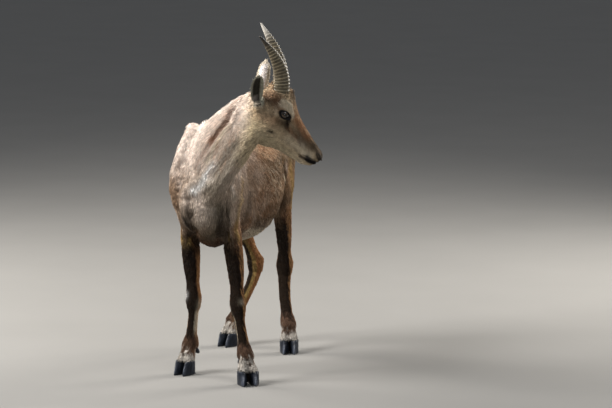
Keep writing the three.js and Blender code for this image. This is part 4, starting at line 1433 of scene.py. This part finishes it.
def tuft_mesh(name, roots, normals, lies, lengths, widths, lifts, bends, colours, uvs, rings):
    """Closed thin tufts as one object. Each rises from a buried root, is widest part of the way along
    and ends in a point; rings gives the place and share of the width of each three-sided ring."""
    side = unit(np.cross(lies, normals))
    length, width, lift = lengths[:, None], widths[:, None], lifts[:, None]

    def centre(t):
        rise = lift * (1 - (1 - t) ** 2)
        return roots + lies * length * t + normals * rise + side * bends[:, None] * t * t

    corners = [roots - normals * ROOT_DEPTH - lies * 0.5]
    painted_shading, along = [ROOT_PAINTED_SHADE], [-0.5]
    for place, share in rings:
        middle = centre(place)
        half = width * share / 2
        corners += [middle - side * half, middle + normals * (0.3 * half + 0.25), middle + side * half]
        painted_shading += [EDGE_PAINTED_SHADE, RIDGE_PAINTED_HIGHLIGHT, EDGE_PAINTED_SHADE]
        along += [place - 0.5] * 3
    corners.append(centre(1.0))
    painted_shading.append(TIP_PAINTED_HIGHLIGHT)
    along.append(0.5)
    per = len(corners)
    faces = [(0, 2, 1), (0, 3, 2), (0, 1, 3)]
    for ring in range(len(rings) - 1):
        a, b = 1 + 3 * ring, 4 + 3 * ring
        for k in range(3):
            n = (k + 1) % 3
            faces += [(a + k, a + n, b + n), (a + k, b + n, b + k)]
    last = per - 4
    faces += [(per - 1, last, last + 1), (per - 1, last + 1, last + 2), (per - 1, last + 2, last)]
    points = np.stack(corners, 1).reshape(-1, 3)
    starts = per * np.arange(len(roots))[:, None, None]
    triangles = (np.array(faces)[None] + starts).reshape(-1, 3)
    mesh = bpy.data.meshes.new(name)
    mesh.vertices.add(len(points))
    mesh.vertices.foreach_set("co", to_row(points).astype(np.float32).ravel())
    mesh.loops.add(triangles.size)
    mesh.loops.foreach_set("vertex_index", triangles.astype(np.int32).ravel())
    mesh.polygons.add(len(triangles))
    mesh.polygons.foreach_set("loop_start", np.arange(0, triangles.size, 3, dtype=np.int32))
    mesh.update(calc_edges=True)
    # Each tuft's colour carries painted shade at its root and edges and a painted highlight on its ridge and
    # tip
    paint_attribute(mesh, (colours[:, None] * np.array(painted_shading)[None, :, None]).reshape(-1, 3))
    across = [0.0] + [-0.5, 0.0, 0.5] * len(rings) + [0.0]
    patch = np.stack([np.array(across), np.array(along)], -1) * UV_PATCH
    corner_uvs = np.clip((uvs[:, None] + patch[None]).reshape(-1, 2)[triangles.ravel()], 0, 1)
    layer = mesh.uv_layers.new(name="OFBake")
    layer.uv.foreach_set("vector", corner_uvs.astype(np.float32).ravel())
    return new_object(name, mesh)


def lay_of(roots, normals, draw):
    """The hairs' directions along the skin, gathered into small waves, and their lengths."""
    lies, lengths = guided(roots)
    wave = np.stack([ripples(roots, 34, 20 + k) for k in range(3)], -1)
    gather = np.stack([ripples(roots, 11, 30 + k) for k in range(3)], -1)
    lies = lies + 0.12 * wave + 0.14 * gather + STRAY * draw.normal(size=roots.shape)
    lies = unit(lies - (lies * normals).sum(1, keepdims=True) * normals)
    return lies, lengths * draw.uniform(0.75, 1.25, len(roots))


def hair_tones(roots, normals, draw):
    """Coat colours, with their painted shade and highlights, at the roots, lighter or darker from tuft to
    tuft and from lock to lock.
    """
    tone = 1 + 0.22 * draw.normal(size=len(roots)) + 0.13 * ripples(roots * [1, 1, 0.45], 8, 40)
    return markings_and_painted_light(roots, normals) * np.clip(tone, 0.5, 1.6)[:, None]


def region_shares(points):
    """Whether each point belongs to each region of the coat."""
    head = head_share(points) > 0.5
    tail = tail_share(points) > 0.5
    x, y, z = points.T
    neck = blob(points, (110, -70, 710), (120, 90, 130)) > 0.42
    leg = z < 430
    trunk = ~head & ~tail & ~leg
    return {
        "head": head,
        "neck": trunk & neck,
        "shoulders": trunk & ~neck & (y < 130),
        "flank_right": trunk & ~neck & (y >= 130) & (x < 0),
        "flank_left": trunk & ~neck & (y >= 130) & (x >= 0),
        "forelegs": ~head & leg & (y < 190),
        "hindlegs": leg & (y >= 190) & ~tail,
        "tail": tail,
    }


# Region: tufts to a square millimetre, width and lift as shares of length, and slot
COATS = {
    "head": (0.31, 0.17, 0.08, "coat"),
    "neck": (0.15, 0.075, 0.1, "coat"),
    "shoulders": (0.13, 0.085, 0.09, "coat"),
    "flank_right": (0.115, 0.085, 0.1, "flank"),
    "flank_left": (0.12, 0.085, 0.1, "flank"),
    "forelegs": (0.17, 0.12, 0.1, "leg"),
    "hindlegs": (0.16, 0.12, 0.1, "leg"),
    "tail": (0.16, 0.1, 0.1, "tail"),
}
# A piece keeps the first so many of its roots.
MOST_TUFTS = 33000


def bare_share(roots, normals):
    """Whether no hair grows at each root: the nose, the lips' edges, the lids and inside the ears."""
    h, hn = body_to_head(roots), normals @ HEAD_TURN
    side = both_sides(h)
    nostrils = near_line(side, (203, 19, 26), (214, 10, 20)) < 7
    nose = near_line(side, (216, 0, 18), (216, 0, 6)) < 9
    lips = mouth_band(side) > 0.6
    lids = lid_rim(side) > 0.7
    ears = np.max([ear_inside(h, hn, way, 0.85) for way in SIDES.values()], axis=0) > 0.5
    return nostrils | nose | lips | lids | ears


def grow_coat(surface):
    """All the coat's pieces: short ones that share out the skin, and loose ones among them."""
    hair = painted_material("fur", 0.78, 34, 420)
    shares = region_shares(surface.middles)
    for number, (region, (density, width, lift, slot)) in enumerate(COATS.items()):
        rings = LONG_TUFT if region == "tail" else SHORT_TUFT
        shape = (1, width, lift, SHORT_BEND)
        piece = grow(f"coat_{region}", surface, density * shares[region], 100 + number, shape, rings)
        finished(piece, hair, slot)
    for number, (name, (density, places, shape)) in enumerate(LOOSE_COATS.items()):
        share = density * places(surface.middles)
        piece = grow(f"coat_{name}", surface, share, 200 + number, shape, LONG_TUFT)
        finished(piece, hair, "coat")


def grow(name, surface, density, seed, shape, rings):
    """Tufts on the skin, with their length, width, lift and bend as shares of the coat's own length."""
    roots, normals, uvs, draw = surface.scatter(density, seed)
    keep = ~bare_share(roots, normals)
    roots, normals, uvs = (values[keep][:MOST_TUFTS] for values in (roots, normals, uvs))
    reach, width, lift, bend = shape
    lies, lengths = lay_of(roots, normals, draw)
    lengths = lengths * reach * (1 - 0.7 * over_horn(roots + lies * lengths[:, None] * reach))
    widths = lengths * width * draw.uniform(0.7, 1.3, len(roots))
    lifts = lengths * lift * draw.uniform(0.5, 1.5, len(roots))
    bends = lengths * bend * draw.normal(size=len(roots))
    tones = hair_tones(roots, normals, draw)
    return tuft_mesh(name, roots, normals, lies, lengths, widths, lifts, bends, tones, uvs, rings)


# Where the coat stands in loose locks: soft round regions with their sizes, on the body and on both
# sides of the crown
BODY_LOCKS = [
    ((120, -50, 800), (60, 50, 40)),
    ((100, -105, 740), (70, 30, 60)),
    ((40, -40, 430), (70, 60, 40)),
    ((-100, 20, 480), (30, 40, 60)),
    ((100, 10, 480), (26, 40, 70)),
    ((100, 240, 430), (50, 120, 36)),
    ((-100, 240, 430), (50, 120, 36)),
    ((110, 230, 570), (40, 90, 70)),
    ((90, 440, 470), (40, 60, 60)),
    ((-90, 440, 470), (40, 60, 60)),
    ((0, 570, 600), (60, 40, 60)),
]
CROWN_LOCKS = [
    ((-14, 40, 62), (26, 20, 20)),
    ((34, 0, 104), (16, 24, 14)),
    ((-20, 50, 10), (20, 18, 20)),
]


def over_horn(points):
    """1 for hair tips that would lie across a horn."""
    side = both_sides(body_to_head(points))
    return 1 - soft(near_path(side, HORN_PATH[:4]), 18, 23)


def body_locks(points):
    share = sum(blob(points, at, size) for at, size in BODY_LOCKS) * (1 - head_share(points))
    return np.clip(share, 0, 1) * (1 - tail_share(points))


def crown_locks(points):
    side = both_sides(body_to_head(points))
    share = sum(blob(side, at, size) for at, size in CROWN_LOCKS) * head_share(points)
    return np.clip(share, 0, 1) * (1 - ear_share(points))


# Tufts to a square millimetre, where they stand, and their length, width, lift and bend
LOOSE_COATS = {
    "locks": (0.005, body_locks, (1.15, 0.12, 0.12, 0.15)),
    "crown": (0.04, crown_locks, (1.1, 0.1, 0.3, 0.2)),
}


# Eyes, horns and hooves

IRIS_DARK = (0.034, 0.018, 0.007)
IRIS_LIGHT = (0.075, 0.042, 0.016)
# The iris's edge colour: partly a dark limbus, partly painted shade of the lids
IRIS_EDGE_LIMBUS_AND_LID_SHADE = (0.006, 0.004, 0.003)
PUPIL = (0.004, 0.004, 0.006)
EYE_RING = (0.008, 0.006, 0.005)
# Spokes of the iris and how much they wind, by the metre
SPOKES = 46.0
SPOKE_TWIST = 900.0
# Sizes on the eye in metres: the pupil, and where the iris darkens and the ring begins. The iris's darkening
# is partly a dark limbus and partly painted shade of the lids
PUPIL_HALF_LENGTH = 0.0075
PUPIL_HALF_HEIGHT = 0.003
IRIS_FADE = (0.0055, 0.0095)
RING_FADE = (0.0122, 0.0132)


def eye_material():
    """Amber-brown iris with fine spokes, a level pupil, and a dark ring that runs into the lids. The iris
    darkens well inside its edge, partly a dark limbus and partly painted shade of the lids.
    """
    made, tree, shader = material("eye", 0.08, 0.2, coat=0.8)
    coords = tree.nodes.new("ShaderNodeTexCoord")
    split = tree.nodes.new("ShaderNodeSeparateXYZ")
    tree.links.new(coords.outputs["Object"], split.inputs["Vector"])

    def fill(socket, value):
        if isinstance(value, bpy.types.NodeSocket):
            tree.links.new(value, socket)
        else:
            socket.default_value = value

    def computed(operation, *values):
        step = node(tree, "ShaderNodeMath", operation=operation)
        for socket, value in zip(step.inputs, values):
            fill(socket, value)
        return step.outputs[0]

    def ramp(value, low, high):
        step = node(tree, "ShaderNodeMapRange", clamp=True, interpolation_type="SMOOTHSTEP")
        step.inputs["From Min"].default_value = low
        step.inputs["From Max"].default_value = high
        fill(step.inputs["Value"], value)
        return step.outputs["Result"]

    def mixed(factor, first, second):
        step = node(tree, "ShaderNodeMix", data_type="RGBA")
        fill(step.inputs["Factor"], factor)
        for socket, value in ((step.inputs[6], first), (step.inputs[7], second)):
            fill(socket, (*value, 1) if isinstance(value, tuple) else value)
        return step.outputs[2]

    along, over = split.outputs["Y"], split.outputs["Z"]
    radius = computed("SQRT", computed("ADD", computed("POWER", along, 2.0), computed("POWER", over, 2.0)))
    turn = computed("MULTIPLY", computed("ARCTAN2", over, along), SPOKES)
    spokes = computed("SINE", computed("ADD", turn, computed("MULTIPLY", radius, SPOKE_TWIST)))
    iris = mixed(ramp(spokes, -1.0, 1.0), IRIS_DARK, IRIS_LIGHT)
    # Painted shade of the lids, with the dark limbus, over the iris's outer part
    iris = mixed(ramp(radius, *IRIS_FADE), iris, IRIS_EDGE_LIMBUS_AND_LID_SHADE)
    reach = [
        computed("POWER", computed("ABSOLUTE", computed("DIVIDE", value, half)), 3.0)
        for value, half in ((along, PUPIL_HALF_LENGTH), (over, PUPIL_HALF_HEIGHT))
    ]
    shade = mixed(ramp(computed("ADD", *reach), 0.8, 1.15), PUPIL, iris)
    shade = mixed(ramp(radius, *RING_FADE), shade, EYE_RING)
    tree.links.new(shade, shader.inputs["Base Color"])
    return made


def add_eyes():
    """Eyeballs with a slight bulge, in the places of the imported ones."""
    finish = eye_material()
    for side, way in SIDES.items():
        points, faces = ball((0, 0, 0), EYE_RADIUS, 48)
        points = points[:, [2, 0, 1]]
        bulge = soft(points[:, 0] / EYE_RADIUS, math.cos(math.radians(46)), 1.0)
        mesh = bpy.data.meshes.new(f"eyeball_{side}")
        mesh.from_pydata((points * (1 + 0.05 * bulge[:, None]) * MM).tolist(), [], faces)
        eye = new_object(f"eyeball_{side}", mesh)
        axes = [HEAD_TURN @ axis for axis in eye_axes(way)]
        turn = Matrix(np.stack(axes, 1).tolist()).to_4x4()
        eye.matrix_world = Matrix.Translation(to_row(head_to_body(sided(EYE, way))).tolist()) @ turn
        finished(eye, finish, "eye", f"eye_{side}")


def horn_surface(way, count=260, sides=40):
    """Rings of a horn with its yearly and smaller ridges, and how high each point stands on them."""
    path, depths, widths = horn_stations(way, count)
    along = unit(np.gradient(path, axis=0))
    front = unit(np.array(HORN_FRONT) - (along @ HORN_FRONT)[:, None] * along)
    out = np.cross(front, along) * way
    angle = whole_turn(sides)
    forward, outward = np.cos(angle), np.sin(angle)
    draw = np.random.default_rng(7)
    t = np.linspace(0, 1, count)
    uneven = np.interp(t, np.linspace(0, 1, HORN_RINGS + 1), draw.uniform(0.65, 1.25, HORN_RINGS + 1))
    ringed = soft(t, 0.02, 0.06) * (1 - soft(t, 0.8, 0.93))
    slip = 0.16 * np.sin(2 * angle + 0.6) + 0.1 * (1 - forward)
    phase = (t[:, None] * (HORN_RINGS - 1) / 0.9 + slip[None, :]) % 1.0
    ridge = bell(phase - 0.5, 0.2)
    small = 0.25 * np.sin(2 * math.pi * phase * 3) * (1 - ridge)
    stand = (ridge + small * 0.4) * (ringed * uneven)[:, None] * (0.75 + 0.35 * forward[None, :])
    fore = np.sign(forward) * abs(forward) ** 0.87
    aside = np.sign(outward) * abs(outward) ** 0.95
    depth = (fore * ((depths - 0.4)[:, None] + 1.5 * stand))[..., None]
    width = (aside * ((widths - 0.4)[:, None] + 1.3 * stand))[..., None]
    return path[:, None] + depth * front[:, None] + width * out[:, None], stand, t


HORN_GROOVE = (0.045, 0.034, 0.019)
HORN_RIDGE = (0.3, 0.25, 0.165)
HORN_BODY = (0.125, 0.1, 0.06)
HORN_TIPS = {"right": (0.035, 0.028, 0.022), "left": (0.52, 0.48, 0.42)}


def add_horns():
    """Ringed horns, the left one bleached at its tip."""
    finish = painted_material("horn_sheath", 0.5, 60, 500, 0.45, 0.0, (900, 3.0, 0.35, 0.0008))
    for side, way in SIDES.items():
        rings, stand, t = horn_surface(way)
        points, faces = loft(rings)
        horn = head_solid(f"horn_sheath_{side}", (points, faces))
        height = np.append(stand.ravel(), [0, 0])
        place = np.append(np.repeat(t, rings.shape[1]), [0, 1])
        colours = np.array(HORN_BODY) * (1 + 0.3 * ripples(points, 14, 60 + way)[:, None])
        colours = layered(colours, HORN_TIPS[side], soft(place, 0.72, 0.95))
        groove = (1 - soft(height, 0.0, 0.25)) * (1 - soft(place, 0.8, 0.9))
        colours = layered(colours, HORN_GROOVE, 0.6 * groove)
        colours = layered(colours, HORN_RIDGE, 0.85 * soft(height, 0.55, 1.0))
        paint_attribute(horn.data, colours)
        finished(horn, finish, "horn", f"horn_{side}")


HOOF = (0.012, 0.015, 0.022)
# Painted highlight down the front of a claw's toe
HOOF_PAINTED_HIGHLIGHT = (0.065, 0.075, 0.1)
HOOF_WORN = (0.03, 0.032, 0.036)
TOE_TAPER = 0.42
TOE_SLOPE = 7


def add_hooves():
    finish = painted_material("hoof_horn", 0.42, 90, 700, 0.2, 0.0, (1100, 3.0, 0.3, 0.0006))
    for leg in LEGS:
        for part in ("claw", "dewclaw"):
            for place in ("outer", "inner"):
                add_hoof(f"{leg}_{part}_{place}", part == "claw", finish)


def add_hoof(name, is_claw, finish):
    """A claw or dewclaw worn round at its edges, with growth rings; a claw's toe is narrowed and painted
    pale down its front as a painted highlight.
    """
    hoof = smooth(remeshed(flesh_copy(f"hoof_{name}", [name], 0.0), 1.5 if is_claw else 1.2), 24)
    hoof = smooth(hoof, 8, keep=False)
    points, normals = points_of(hoof), normals_of(hoof)
    z = points[:, 2]
    rings = 0.35 * np.sin(z * 1.5 + ripples(points, 40, 70)) * (1 - abs(normals[:, 2]))
    points = points + normals * (rings + 0.3 * ripples(points, 16, 71))[:, None]
    if is_claw:
        points[:, 2] = np.maximum(points[:, 2], 0)
        points[:, 2] *= soft(points[:, 2], 0.0, 1.6)
    ahead = -points[:, 1]
    ahead = (ahead - ahead.min()) / np.ptp(ahead)
    if is_claw:
        middle = np.polyval(np.polyfit(points[:, 1], points[:, 0], 1), points[:, 1])
        narrow = TOE_TAPER * (1 - soft(z, 2, 36)) * soft(ahead, 0.3, 0.95)
        points[:, 0] = middle + (points[:, 0] - middle) * (1 - narrow)
        points[:, 1] += TOE_SLOPE * soft(ahead, 0.6, 1) * soft(z, 8, 34)
    set_points(hoof, points)
    colours = np.array(HOOF) * (1 + 0.3 * ripples(points * [1, 1, 0.3], 8, 72)[:, None])
    if is_claw:
        # Painted highlight on the toe's front
        colours = layered(colours, HOOF_PAINTED_HIGHLIGHT, 0.6 * soft(ahead, 0.78, 0.95))
        colours = layered(colours, HOOF_WORN, 0.7 * (1 - soft(z, 1, 8)))
    paint_attribute(hoof.data, colours)
    finished(hoof, finish, "hoof", name)


# Scene

CAMERA_AT = (3287, -8198, 1818)
CAMERA_AZIMUTH = 20
CAMERA_ELEVATION = 8.5
CAMERA_LENS = 185.76
# Metres across the picture, towards the camera and up from the middle, then size, power and colour
LIGHTS = {
    "key": (-2.7, 0.6, 2.1, 1.4, 225, (1, 0.98, 0.95)),
    "fill": (1.8, 3.2, 1.9, 1.6, 30, (0.95, 0.98, 1)),
    "rim_right": (2.2, -1.7, 1.5, 1.2, 130, (1, 0.96, 0.9)),
    "rim_left": (-2.4, -1.7, 1.7, 1.2, 110, (1, 0.96, 0.9)),
}
SKY = (0.78, 0.82, 0.88, 1)
FLOOR = (0.2, 0.195, 0.185, 1)


def aim_camera():
    """The photograph's own view: a long lens, a little to the animal's left of its front. Returns the
    directions to the right in the picture and back to the camera."""
    azimuth, elevation = math.radians(CAMERA_AZIMUTH), math.radians(CAMERA_ELEVATION)
    right = Vector((math.cos(azimuth), math.sin(azimuth), 0))
    level = math.cos(elevation)
    back = Vector((math.sin(azimuth) * level, -math.cos(azimuth) * level, math.sin(elevation)))
    data = bpy.data.cameras.new("camera")
    data.lens = CAMERA_LENS
    data.sensor_width = 36
    data.clip_end = 60
    camera = new_object("camera", data)
    turn = Matrix((right, back.cross(right), back)).transposed().to_4x4()
    camera.matrix_world = Matrix.Translation(to_row(CAMERA_AT).tolist()) @ turn
    bpy.context.scene.camera = camera
    return right, back


def light(name, place, target, size, power, colour):
    """A square lamp that shines from a place to another."""
    data = bpy.data.lights.new(name, "AREA")
    data.size = size
    data.energy = power
    data.color = colour
    made = new_object(name, data)
    made.location = place
    made.rotation_euler = (target - place).to_track_quat("-Z", "Y").to_euler()


def set_stage():
    """Camera, lamps, a soft pale sky and a plain floor."""
    right, back = aim_camera()
    middle = Vector((0, 0, 0.5))
    for name, (across, toward, up, size, power, colour) in LIGHTS.items():
        place = middle + right * across + back * toward + Vector((0, 0, up))
        light(name, place, middle, size, power, colour)
    world = bpy.data.worlds.new("studio")
    bpy.context.scene.world = world
    world.use_nodes = True
    sky = world.node_tree.nodes["Background"]
    sky.inputs["Color"].default_value = SKY
    sky.inputs["Strength"].default_value = 0.35
    bpy.context.scene.view_settings.view_transform = "Standard"
    mesh = bpy.data.meshes.new("floor")
    mesh.from_pydata([(-30, -30, 0), (30, -30, 0), (30, 30, 0), (-30, 30, 0)], [], [(0, 1, 2, 3)])
    floor = new_object("floor", mesh)
    made, tree, shader = material("floor", 0.9, 0.1)
    shade = scaled(tree, object_noise(tree, 3), 0.95, 1.05)
    pale = node(tree, "ShaderNodeRGB")
    pale.outputs[0].default_value = FLOOR
    tree.links.new(tinted(tree, pale.outputs[0], shade), shader.inputs["Base Color"])
    mesh.materials.append(made)


def dress_skin():
    """The skin, painted a little darker than the hair that covers it, as painted shade under the coat."""
    skin = build_skin()
    # The factor 0.8 is painted shade under the coat
    paint_attribute(skin.data, markings_and_painted_light(points_of(skin), normals_of(skin)) * 0.8)
    finish = painted_material("skin_fur", 0.85, 34, 300, relief=(620, 4.0, 0.5, 0.0012))
    finished(skin, finish, "coat", "head", "neck", "torso", "tail", *EARS, *LEG_NODES)
    return skin


set_stage()
skin = dress_skin()
add_eyes()
add_horns()
add_hooves()
grow_coat(Surface(skin))
